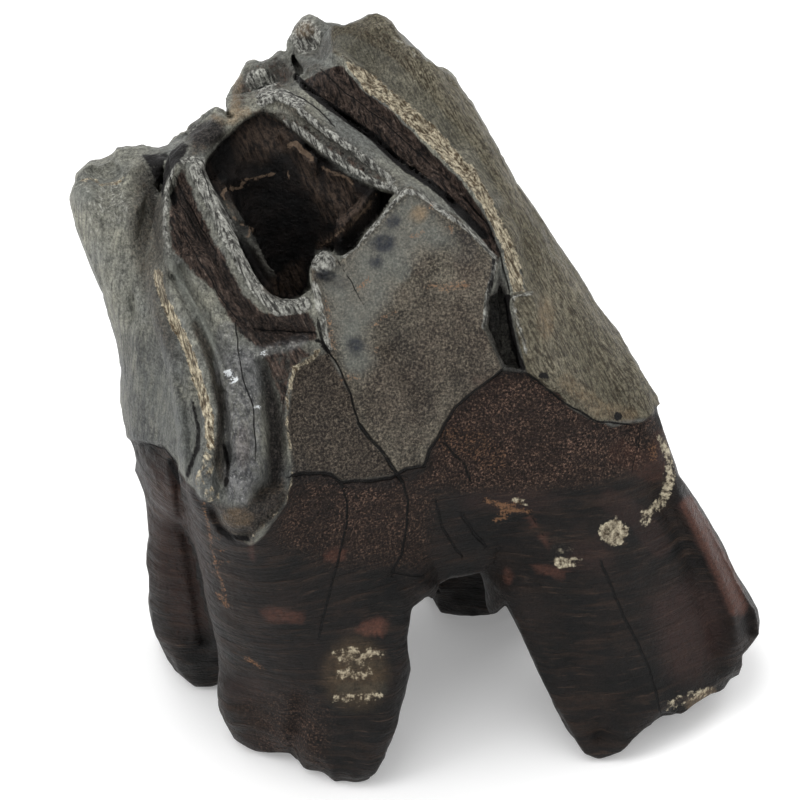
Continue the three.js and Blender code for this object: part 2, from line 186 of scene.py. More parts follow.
# Round hollows and swellings: centre, half widths in pixels, depth or height in millimetres.
DISHES = [((105, 173), (18, 12), 0.8), ((338, 385), (18, 30), 0.2), ((620, 300), (14, 20), 0.2)]
DOMES = [((323, 263), (12, 12), 1.9), ((430, 590), (14, 10), 0.4)]
CUTS = {  # closed line, depth in millimetres
    "gap": ([(498, 268), (494, 291), (486, 297), (486, 316), (485, 328), (491, 340), (496, 356),
        (503, 369), (514, 372), (527, 374), (522, 362), (519, 346), (514, 333), (512, 319), (509, 300),
        (506, 292)], 4.0),
    "far_notch": ([(289, 57), (291, 49), (297, 56), (304, 66), (309, 71), (304, 79), (297, 78),
        (291, 68)], 7.0),
}
SLITS = {  # line, half width in pixels, depth in millimetres
    "split": ([(297, 78), (306, 88), (321, 101), (335, 111), (347, 118), (360, 128), (371, 136),
        (384, 148), (400, 162), (420, 177), (436, 188)], 4.0, 9.0),
    "split_end": ([(436, 188), (452, 198), (470, 216), (484, 236)], 2.2, 3.0),
    "slot": ([(294, 111), (300, 116), (308, 125), (318, 131), (325, 134)], 2.6, 3.0),
    "behind_plate": ([(311, 262), (318, 252), (334, 250), (345, 252), (356, 244), (364, 231),
        (376, 219), (388, 205), (398, 194)], 5.0, 7.0),
}
# Thin blades standing in the pit: x, y and top height of the crest, in the laid-out position.
BLADES = {
    "lining": [(-15.8, -4, 66.4), (-20.5, 0, 71.9), (-22.8, 4, 74), (-20.5, 7.4, 73),
        (-17.7, 8.6, 72.4), (-12.8, 9, 73.1)],
    "blade": [(-14.5, 9.8, 77.6), (-12.6, 8.4, 76.6), (-10.9, 7.2, 75.5)],
    "plate_lining": [(-10.6, -2, 68.9), (-8.6, 0, 69.4), (-6.4, 2, 70.4), (-4.5, 3.2, 72),
        (-3.2, 4.2, 73.6), (-5.6, 5.2, 73.2), (-6.7, 7, 74.1), (-9.9, 8, 74.7)],
}
BLADE_THICKNESS = 0.95
BLADE_REACH = 14  # how far a blade goes from its middle
BLADES_FROM, BLADES_TO = 50, 80  # heights between which they stand
SHEETS = {  # where the face is measured, where it is carried on to, thickness in millimetres
    "plate": (
        [(345, 290), (372, 262), (396, 226), (416, 208), (440, 226), (468, 246), (480, 270), (470, 320),
            (440, 370), (400, 400), (366, 380), (345, 340)],
        [(312, 284), (311, 270), (316, 257), (324, 252), (334, 256), (342, 258), (356, 250), (365, 236),
            (385, 212), (396, 199), (404, 190), (411, 187), (417, 191), (425, 200), (432, 222),
            (400, 250), (372, 290), (345, 320), (324, 316)],
        2.2,
    ),
    "far_lobe": (
        [(84, 196), (100, 200), (122, 205), (128, 250), (136, 320), (152, 400), (132, 410), (122, 330),
            (100, 260), (86, 220)],
        [(122, 190), (132, 168), (142, 163), (151, 182), (160, 196), (163, 219), (166, 251), (157, 276),
            (162, 296), (175, 325), (190, 358), (190, 400), (160, 400), (140, 330), (126, 240)],
        7.0,
    ),
    "arch": (
        [(370, 490), (470, 480), (560, 500), (548, 545), (500, 556), (440, 552), (386, 556)],
        [(426, 540), (500, 540), (494, 562), (486, 571), (466, 575), (450, 577), (438, 583), (426, 590),
            (416, 580)],
        3.0,
    ),
}
SWELL = 1.3  # how far the form grows near the outline before it is trimmed
PIT_PLANE = (-0.0727, 1.1364, 73.94)  # rim height is a x + b y + c, in the laid-out position
PIT_CUT = 10.0  # millimetres below its rim
CROWN_FOOT = 44.0  # height of the neck on the sides that the photograph doesn't show
PIT_BACK = 12.0  # y of the pit's far wall, in the laid-out position
# How far the enamel stands proud of what is under it, in millimetres.
NECK_STEP = 0.55
BACK_STEP = 0.4
PLATE_STEP = 0.7
STYLE_STEP = 0.8


def segments(points, closed=False):
    p = np.array(points, float)
    q = np.roll(p, -1, 0) if closed else p[1:]
    return (p if closed else p[:-1]), q


def line_distance(u, v, points, closed=False):
    """Distance to a line of points, the side it lies on, and the share along it."""
    a, b = segments(points, closed)
    best = np.full(u.shape, 1e9)
    side = np.zeros(u.shape)
    share = np.zeros(u.shape)
    length = np.hypot(*(b - a).T)
    before = np.concatenate([[0], np.cumsum(length)])
    for k in range(len(a)):
        ex, ey = b[k] - a[k]
        wx, wy = u - a[k, 0], v - a[k, 1]
        t = np.clip((wx * ex + wy * ey) / (length[k] ** 2 + 1e-9), 0, 1)
        d = np.hypot(wx - t * ex, wy - t * ey)
        closer = d < best - 1e-9
        best = np.where(closer, d, best)
        side = np.where(closer, np.sign(ex * wy - ey * wx), side)
        share = np.where(closer, (before[k] + t * length[k]) / before[-1], share)
    return best, side, share


def inside(u, v, points):
    """True where a pixel lies in the closed line."""
    a, b = segments(points, True)
    odd = np.zeros(u.shape, bool)
    for (ax, ay), (bx, by) in zip(a, b):
        if ay == by:
            continue
        crosses = (ay > v) != (by > v)
        odd ^= crosses & (u < (bx - ax) * (v - ay) / (by - ay) + ax)
    return odd


def area_distance(u, v, points):
    """Signed distance to a closed line, negative inside."""
    d, _, _ = line_distance(u, v, points, True)
    return np.where(inside(u, v, points), -d, d)


def smooth(low, high, x):
    t = np.clip((x - low) / (high - low), 0, 1)
    return t * t * (3 - 2 * t)


def noise(points, size, seed, octaves=3, gain=0.5):
    """Smooth noise of about -1 to 1 with lumps of this size in millimetres."""
    total = np.zeros(len(points))
    weight, reach = 1.0, 0.0
    rng = np.random.default_rng(seed)
    size = np.array(size, float)
    for _ in range(octaves):
        table = rng.uniform(-1, 1, (32, 32, 32)).astype(np.float32)
        p = points / size + rng.uniform(0, 32, 3)
        cell = np.floor(p).astype(int)
        f = p - cell
        f = f * f * (3 - 2 * f)
        value = np.zeros(len(points))
        for i in (0, 1):
            for j in (0, 1):
                for k in (0, 1):
                    corner = table[(cell[:, 0] + i) % 32, (cell[:, 1] + j) % 32, (cell[:, 2] + k) % 32]
                    wx = f[:, 0] if i else 1 - f[:, 0]
                    wy = f[:, 1] if j else 1 - f[:, 1]
                    wz = f[:, 2] if k else 1 - f[:, 2]
                    value += corner * wx * wy * wz
        total += weight * value
        reach += weight
        weight *= gain
        size = size / 2
    return total / reach


# The photograph's frame as a lattice one pixel apart, on which maps are drawn.
SPARE = 12  # pixels of the lattice beyond the frame
pixel_u, pixel_v = np.meshgrid(np.arange(-SPARE, FRAME_PX + SPARE), np.arange(-SPARE, FRAME_PX + SPARE))


def boxed(points, reach):
    """The part of the lattice within reach of a line."""
    p = np.array(points, float)
    lo = np.maximum(np.floor(p.min(0) - reach).astype(int) + SPARE, 0)
    hi = np.ceil(p.max(0) + reach).astype(int) + SPARE + 1
    return slice(lo[1], hi[1]), slice(lo[0], hi[0])


def lookup(image, u, v):
    """A map's value at pixel places, blended between its points."""
    n = image.shape[0]
    x = np.clip(u + SPARE, 0, n - 1.001)
    y = np.clip(v + SPARE, 0, n - 1.001)
    i, j = x.astype(int), y.astype(int)
    fx, fy = x - i, y - j
    top = image[j, i] * (1 - fx) + image[j, i + 1] * fx
    low = image[j + 1, i] * (1 - fx) + image[j + 1, i + 1] * fx
    return top * (1 - fy) + low * fy


def area_map(points):
    """Distance to an area's edge all over the lattice, negative inside."""
    return area_distance(pixel_u, pixel_v, points)


outline_map = area_map(OUTLINE)
pit_map = area_map(PIT)
neck_distance, neck_side, _ = line_distance(pixel_u, pixel_v, NECK)
neck_map = neck_distance * np.where(neck_side < 0, 1, -1)

relief = np.zeros(pixel_u.shape)
for group, sign in ((FOLDS, 1), (GROOVES, -1)):
    for line, half, size in group.values():
        part = boxed(line, 2 * half + 2)
        d, _, _ = line_distance(pixel_u[part], pixel_v[part], line)
        relief[part] += sign * size * np.exp(-((d / half) ** 2) * 1.4)
for line, half, size in ROLLS.values():
    part = boxed(line, half + 1)
    d, _, _ = line_distance(pixel_u[part], pixel_v[part], line)
    relief[part] += size * np.sqrt(np.maximum(1 - (d / half) ** 2, 0))
for group, sign in ((DOMES, 1), (DISHES, -1)):
    for (cu, cv), (ru, rv), size in group:
        r = np.hypot((pixel_u - cu) / ru, (pixel_v - cv) / rv)
        relief += sign * size * np.sqrt(np.maximum(1 - r * r, 0))
relief += NECK_STEP * smooth(-1.5, 1.5, neck_map) * np.exp(-np.maximum(neck_map, 0) / 60)
relief += PLATE_STEP * smooth(2.0, -2.0, area_map(PLATE))
relief += STYLE_STEP * smooth(1.5, -2.0, area_map(STYLE))

# The solid as a grid of distances to its surface, with its facets smoothed, more so on the roots.
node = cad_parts["tooth"]
cad = node.data
cad.calc_loop_triangles()
cad_points = np.zeros(len(cad.vertices) * 3, np.float32)
cad.vertices.foreach_get("co", cad_points)
cad_points = cad_points.reshape(-1, 3) * 1000
cad_faces = np.zeros(len(cad.loop_triangles) * 3, np.int32)
cad.loop_triangles.foreach_get("vertices", cad_faces)
cad_faces = cad_faces.reshape(-1, 3).astype(np.uint32)

transform = vdb.createLinearTransform(voxelSize=VOXEL)
level = vdb.FloatGrid.createLevelSetFromPolygons(cad_points, triangles=cad_faces, transform=transform,
    halfWidth=float(BAND))
low_cell = np.floor(cad_points.min(0) / VOXEL).astype(int) - BAND
high_cell = np.ceil(cad_points.max(0) / VOXEL).astype(int) + BAND
field = np.zeros(high_cell - low_cell + 1, np.float32)
level.copyToArray(field, ijk=tuple(int(c) for c in low_cell))
axis_mm = [(np.arange(field.shape[i]) + low_cell[i]) * VOXEL for i in range(3)]


def blurred(values, sigma):
    """Gaussian blur, sigma in millimetres."""
    reach = int(math.ceil(2.5 * sigma / VOXEL))
    steps = np.arange(-reach, reach + 1)
    kernel = np.exp(-0.5 * (steps * VOXEL / sigma) ** 2)
    kernel /= kernel.sum()
    out = values
    for axis in range(3):
        pad = [(0, 0)] * 3
        pad[axis] = (reach, reach)
        wide = np.pad(out, pad, mode="edge")
        size = out.shape[axis]
        acc = np.zeros_like(out)
        for s, k in zip(steps, kernel):
            cut = [slice(None)] * 3
            cut[axis] = slice(reach + s, reach + s + size)
            acc += np.float32(k) * wide[tuple(cut)]
        out = acc
    return out


fine = blurred(field, 0.55)
coarse = blurred(field, 1.9)
soften = (1 - smooth(38, 50, axis_mm[2][None, None, :])).astype(np.float32)
field = fine * (1 - soften) + coarse * soften
del fine, coarse


def cells_where(mask):
    """Places in the grid, as indices and in millimetres."""
    cells = np.argwhere(mask)
    return tuple(cells.T), (cells + low_cell) * VOXEL


def slopes(at):
    """Unit outward normals of the grid's surface at some cells."""
    g = []
    for axis in range(3):
        ahead, behind = list(at), list(at)
        ahead[axis] = np.minimum(at[axis] + 1, field.shape[axis] - 1)
        behind[axis] = np.maximum(at[axis] - 1, 0)
        g.append(field[tuple(ahead)] - field[tuple(behind)])
    g = np.stack(g, 1)
    return g / np.maximum(np.linalg.norm(g, axis=1, keepdims=True), 1e-6)


DEPTH_CELL = 4.0  # pixels


def depth_map():
    """Depth of the nearest surface in coarse pixels, seen from the camera."""
    _, points = cells_where(np.abs(field) < 0.8 * VOXEL)
    u, v, depth = to_photo(points)
    n = int(FRAME_PX / DEPTH_CELL) + 4
    nearest = np.full((n, n), 1e9)
    iu = np.clip((u / DEPTH_CELL).astype(int), 0, n - 1)
    iv = np.clip((v / DEPTH_CELL).astype(int), 0, n - 1)
    np.minimum.at(nearest, (iv, iu), depth)
    for _ in range(2):
        wide = np.pad(nearest, 1, mode="edge")
        around = np.full((n, n), 1e9)
        for i in range(3):
            for j in range(3):
                around = np.minimum(around, wide[i:i + n, j:j + n])
        nearest = np.where(nearest > 1e8, around, nearest)
    return nearest


def first_depth(nearest, u, v):
    """Depth of the nearest surface at pixel places."""
    n = nearest.shape[0]
    return nearest[np.clip((v / DEPTH_CELL).astype(int), 0, n - 1),
        np.clip((u / DEPTH_CELL).astype(int), 0, n - 1)]


def above_neck(points):
    """Height above the wavy lower edge of the crown, for the sides that don't show."""
    wave = 2.6 * noise(points, 17.0, 22, 2) + 1.5 * noise(points, 6.0, 21, 3)
    return points[:, 2] - CROWN_FOOT + wave


# Trim the form to the photograph's outline, after letting it swell a little near that line.
at, points = cells_where(field < 3.0)
u, v, depth = to_photo(points)
edge = lookup(outline_map, u, v) * depth / FOCAL_PX
grow = SWELL * smooth(-5.0, -0.5, edge)
field[at] = np.maximum(field[at] - grow, edge)

# Open the pit along the lines of sight, as far down as a sheet below its rim.
laid = points - CENTRING
rim = PIT_PLANE[0] * laid[:, 0] + PIT_PLANE[1] * laid[:, 1] + PIT_PLANE[2]
across = lookup(pit_map, u, v) * depth / FOCAL_PX
near = across < 6.0
hole = np.full(len(points), 9.0)
hole[near] = across[near] + 0.22 * noise(points[near], 1.6, 3, 2)
hole = np.maximum(hole, (rim - PIT_CUT - laid[:, 2]) * 0.65)
field[at] = np.maximum(field[at], -hole)

# Carry faces on as sheets, each along a curved surface fitted to what is seen of it.
nearest = depth_map()
_, skin_points = cells_where(np.abs(field) < 0.5 * VOXEL)
su, sv, sdepth = to_photo(skin_points)
first = sdepth - first_depth(nearest, su, sv) < 1.0


def terms(u, v):
    """The terms of a curved face: constant, slopes and bends."""
    x, y = (u - FRAME_PX / 2) / 100, (v - FRAME_PX / 2) / 100
    return np.stack([np.ones_like(x), x, y, x * x, x * y, y * y], 1)


for measured, carried, thick in SHEETS.values():
    use = first & inside(su, sv, measured)
    fit, *_ = np.linalg.lstsq(terms(su[use], sv[use]), sdepth[use], rcond=None)
    part = lookup(area_map(carried), u, v) < 2
    face = terms(u[part], v[part]) @ fit
    across = lookup(area_map(carried), u[part], v[part]) * depth[part] / FOCAL_PX
    sheet = np.maximum(np.maximum(face - depth[part], depth[part] - face - thick), across)
    cell = tuple(a[part] for a in at)
    field[cell] = np.minimum(field[cell], sheet)

# Slits and deep cuts, down to a depth below the nearest surface.
nearest = depth_map()
front = first_depth(nearest, u, v)
for line, half, deep in SLITS.values():
    d, _, share = line_distance(pixel_u, pixel_v, line)
    # A slit is narrower towards its ends.
    width = half * (0.35 + 0.65 * np.sin(np.pi * np.clip(share * 0.9 + 0.08, 0, 1)))
    across = lookup(d - width, u, v) * depth / FOCAL_PX
    field[at] = np.maximum(field[at], -np.maximum(across, depth - front - deep))
for line, deep in CUTS.values():
    across = lookup(area_map(line), u, v) * depth / FOCAL_PX
    field[at] = np.maximum(field[at], -np.maximum(across, depth - front - deep))

# Blades in the pit.
for crest in BLADES.values():
    c = np.array(crest, float)
    near = (laid[:, 2] > BLADES_FROM) & (laid[:, 2] < BLADES_TO)
    near &= np.abs(laid[:, 0] - c[:, 0].mean()) < BLADE_REACH
    near &= np.abs(laid[:, 1] - c[:, 1].mean()) < BLADE_REACH
    p = laid[near]
    d, _, share = line_distance(p[:, 0], p[:, 1], c[:, :2])
    length = np.concatenate([[0], np.cumsum(np.hypot(*np.diff(c[:, :2], axis=0).T))])
    top = np.interp(share, length / length[-1], c[:, 2]) + 0.7 * noise(p, 1.6, 31, 2)
    sheet = np.maximum(d - BLADE_THICKNESS / 2, (p[:, 2] - top) * 0.8)
    cell = tuple(a[near] for a in at)
    field[cell] = np.minimum(field[cell], sheet)

# Work the folds, grooves and steps into the surface that the camera sees.
at, points = cells_where(np.abs(field) < 2.8)
u, v, depth = to_photo(points)
normal = slopes(at)
sight = points - EYE
sight /= np.linalg.norm(sight, axis=1, keepdims=True)
facing = -(normal * sight).sum(1)
nearest = depth_map()
front = first_depth(nearest, u, v)
seen = smooth(5.0, 3.0, depth - front) * smooth(-0.15, 0.2, facing)
laid = points - CENTRING
above = laid[:, 2] - CROWN_FOOT
root = smooth(2.0, -3.0, above)
rough_top = smooth(0.35, 0.75, normal[:, 2]) * smooth(60, 64, laid[:, 2])
shift = -lookup(relief, u, v) * seen
shift += root * (0.32 * noise(points, 7.0, 5, 3) + 0.16 * noise(points, (5.0, 5.0, 1.3), 6, 2))
shift += (1 - root) * (0.16 * noise(points, 4.0, 7, 3) + 0.10 * noise(points, (1.0, 1.0, 6.0), 8, 2))
shift -= (1 - seen) * BACK_STEP * smooth(-0.4, 0.4, above_neck(points))
shift += rough_top * 0.55 * noise(points, 2.4, 9, 3)
band = smooth(1.0, -1.0, above - 3.0) * smooth(-7.0, -4.0, above)
shift += band * 0.16 * noise(points, 1.5, 10, 2)
chipped = smooth(9.0, 3.0, points[:, 2])
shift += chipped * 0.8 * np.abs(noise(points, 4.5, 11, 2))
field[at] += shift.astype(np.float32)
field = np.maximum(field, -axis_mm[2][None, None, :].astype(np.float32))  # nothing below the floor

# The mesh, made from the grid.
carved = vdb.FloatGrid(float(BAND * VOXEL))
carved.transform = transform
carved.copyFromArray(field, ijk=tuple(int(c) for c in low_cell), tolerance=0.0)
points, quads = carved.convertToQuads(0.0)
points = np.array(points, float)
quads = np.array(quads).astype(np.int32)
corner = [points[quads[:, k]] for k in range(4)]
volume = (np.cross(corner[1] - corner[0], corner[2] - corner[0]) * corner[0]).sum()
volume += (np.cross(corner[2] - corner[0], corner[3] - corner[0]) * corner[0]).sum()
if volume < 0:
    quads = quads[:, ::-1]


def keep_largest(points, quads):
    """Drops crumbs that hang free of the tooth."""
    label = np.arange(len(points))
    while True:
        low = label[quads].min(1)
        new = label.copy()
        for k in range(4):
            np.minimum.at(new, quads[:, k], low)
        new = new[new]
        if (new == label).all():
            break
        label = new
    names, counts = np.unique(label, return_counts=True)
    main = names[counts.argmax()]
    kept = label == main
    index = np.cumsum(kept) - 1
    chosen = kept[quads[:, 0]]
    return points[kept], index[quads[chosen]].astype(np.int32)


points, quads = keep_largest(points, quads)
data = bpy.data.meshes.new("fossil_tooth")
data.vertices.add(len(points))
data.vertices.foreach_set("co", (points / 1000).astype(np.float32).ravel())
data.loops.add(quads.size)
data.loops.foreach_set("vertex_index", quads.ravel())
data.polygons.add(len(quads))
data.polygons.foreach_set("loop_start", np.arange(0, quads.size, 4, dtype=np.int32))
data.update(calc_edges=True)
tooth = bpy.data.objects.new("fossil_tooth", data)
bpy.context.scene.collection.objects.link(tooth)
# Thin the mesh, more on the sides that the photograph doesn't show.
u, v, depth = to_photo(points)
hidden = (depth - first_depth(nearest, u, v)) > HIDDEN_BEHIND
weights = {"hidden": hidden, "seen": ~hidden}
for name, chosen in weights.items():
    tooth.vertex_groups.new(name=name).add([int(i) for i in np.flatnonzero(chosen)], 1.0, "REPLACE")
total = 2.0 * len(quads)
seen_share = (~hidden).mean() * total
first_goal = min(total, seen_share + HIDDEN_TRIANGLES)
for name, ratio in (("hidden", first_goal / total), ("seen", min(1.0, TRIANGLES / first_goal))):
    thin = tooth.modifiers.new(name, "DECIMATE")
    thin.ratio = ratio
    thin.vertex_group = name
bpy.context.view_layer.update()
graph = bpy.context.evaluated_depsgraph_get()
reduced = bpy.data.meshes.new_from_object(tooth.evaluated_get(graph))
tooth.modifiers.clear()
tooth.data = reduced
reduced.name = "fossil_tooth"
reduced.polygons.foreach_set("use_smooth", np.ones(len(reduced.polygons), bool))
reduced.update()


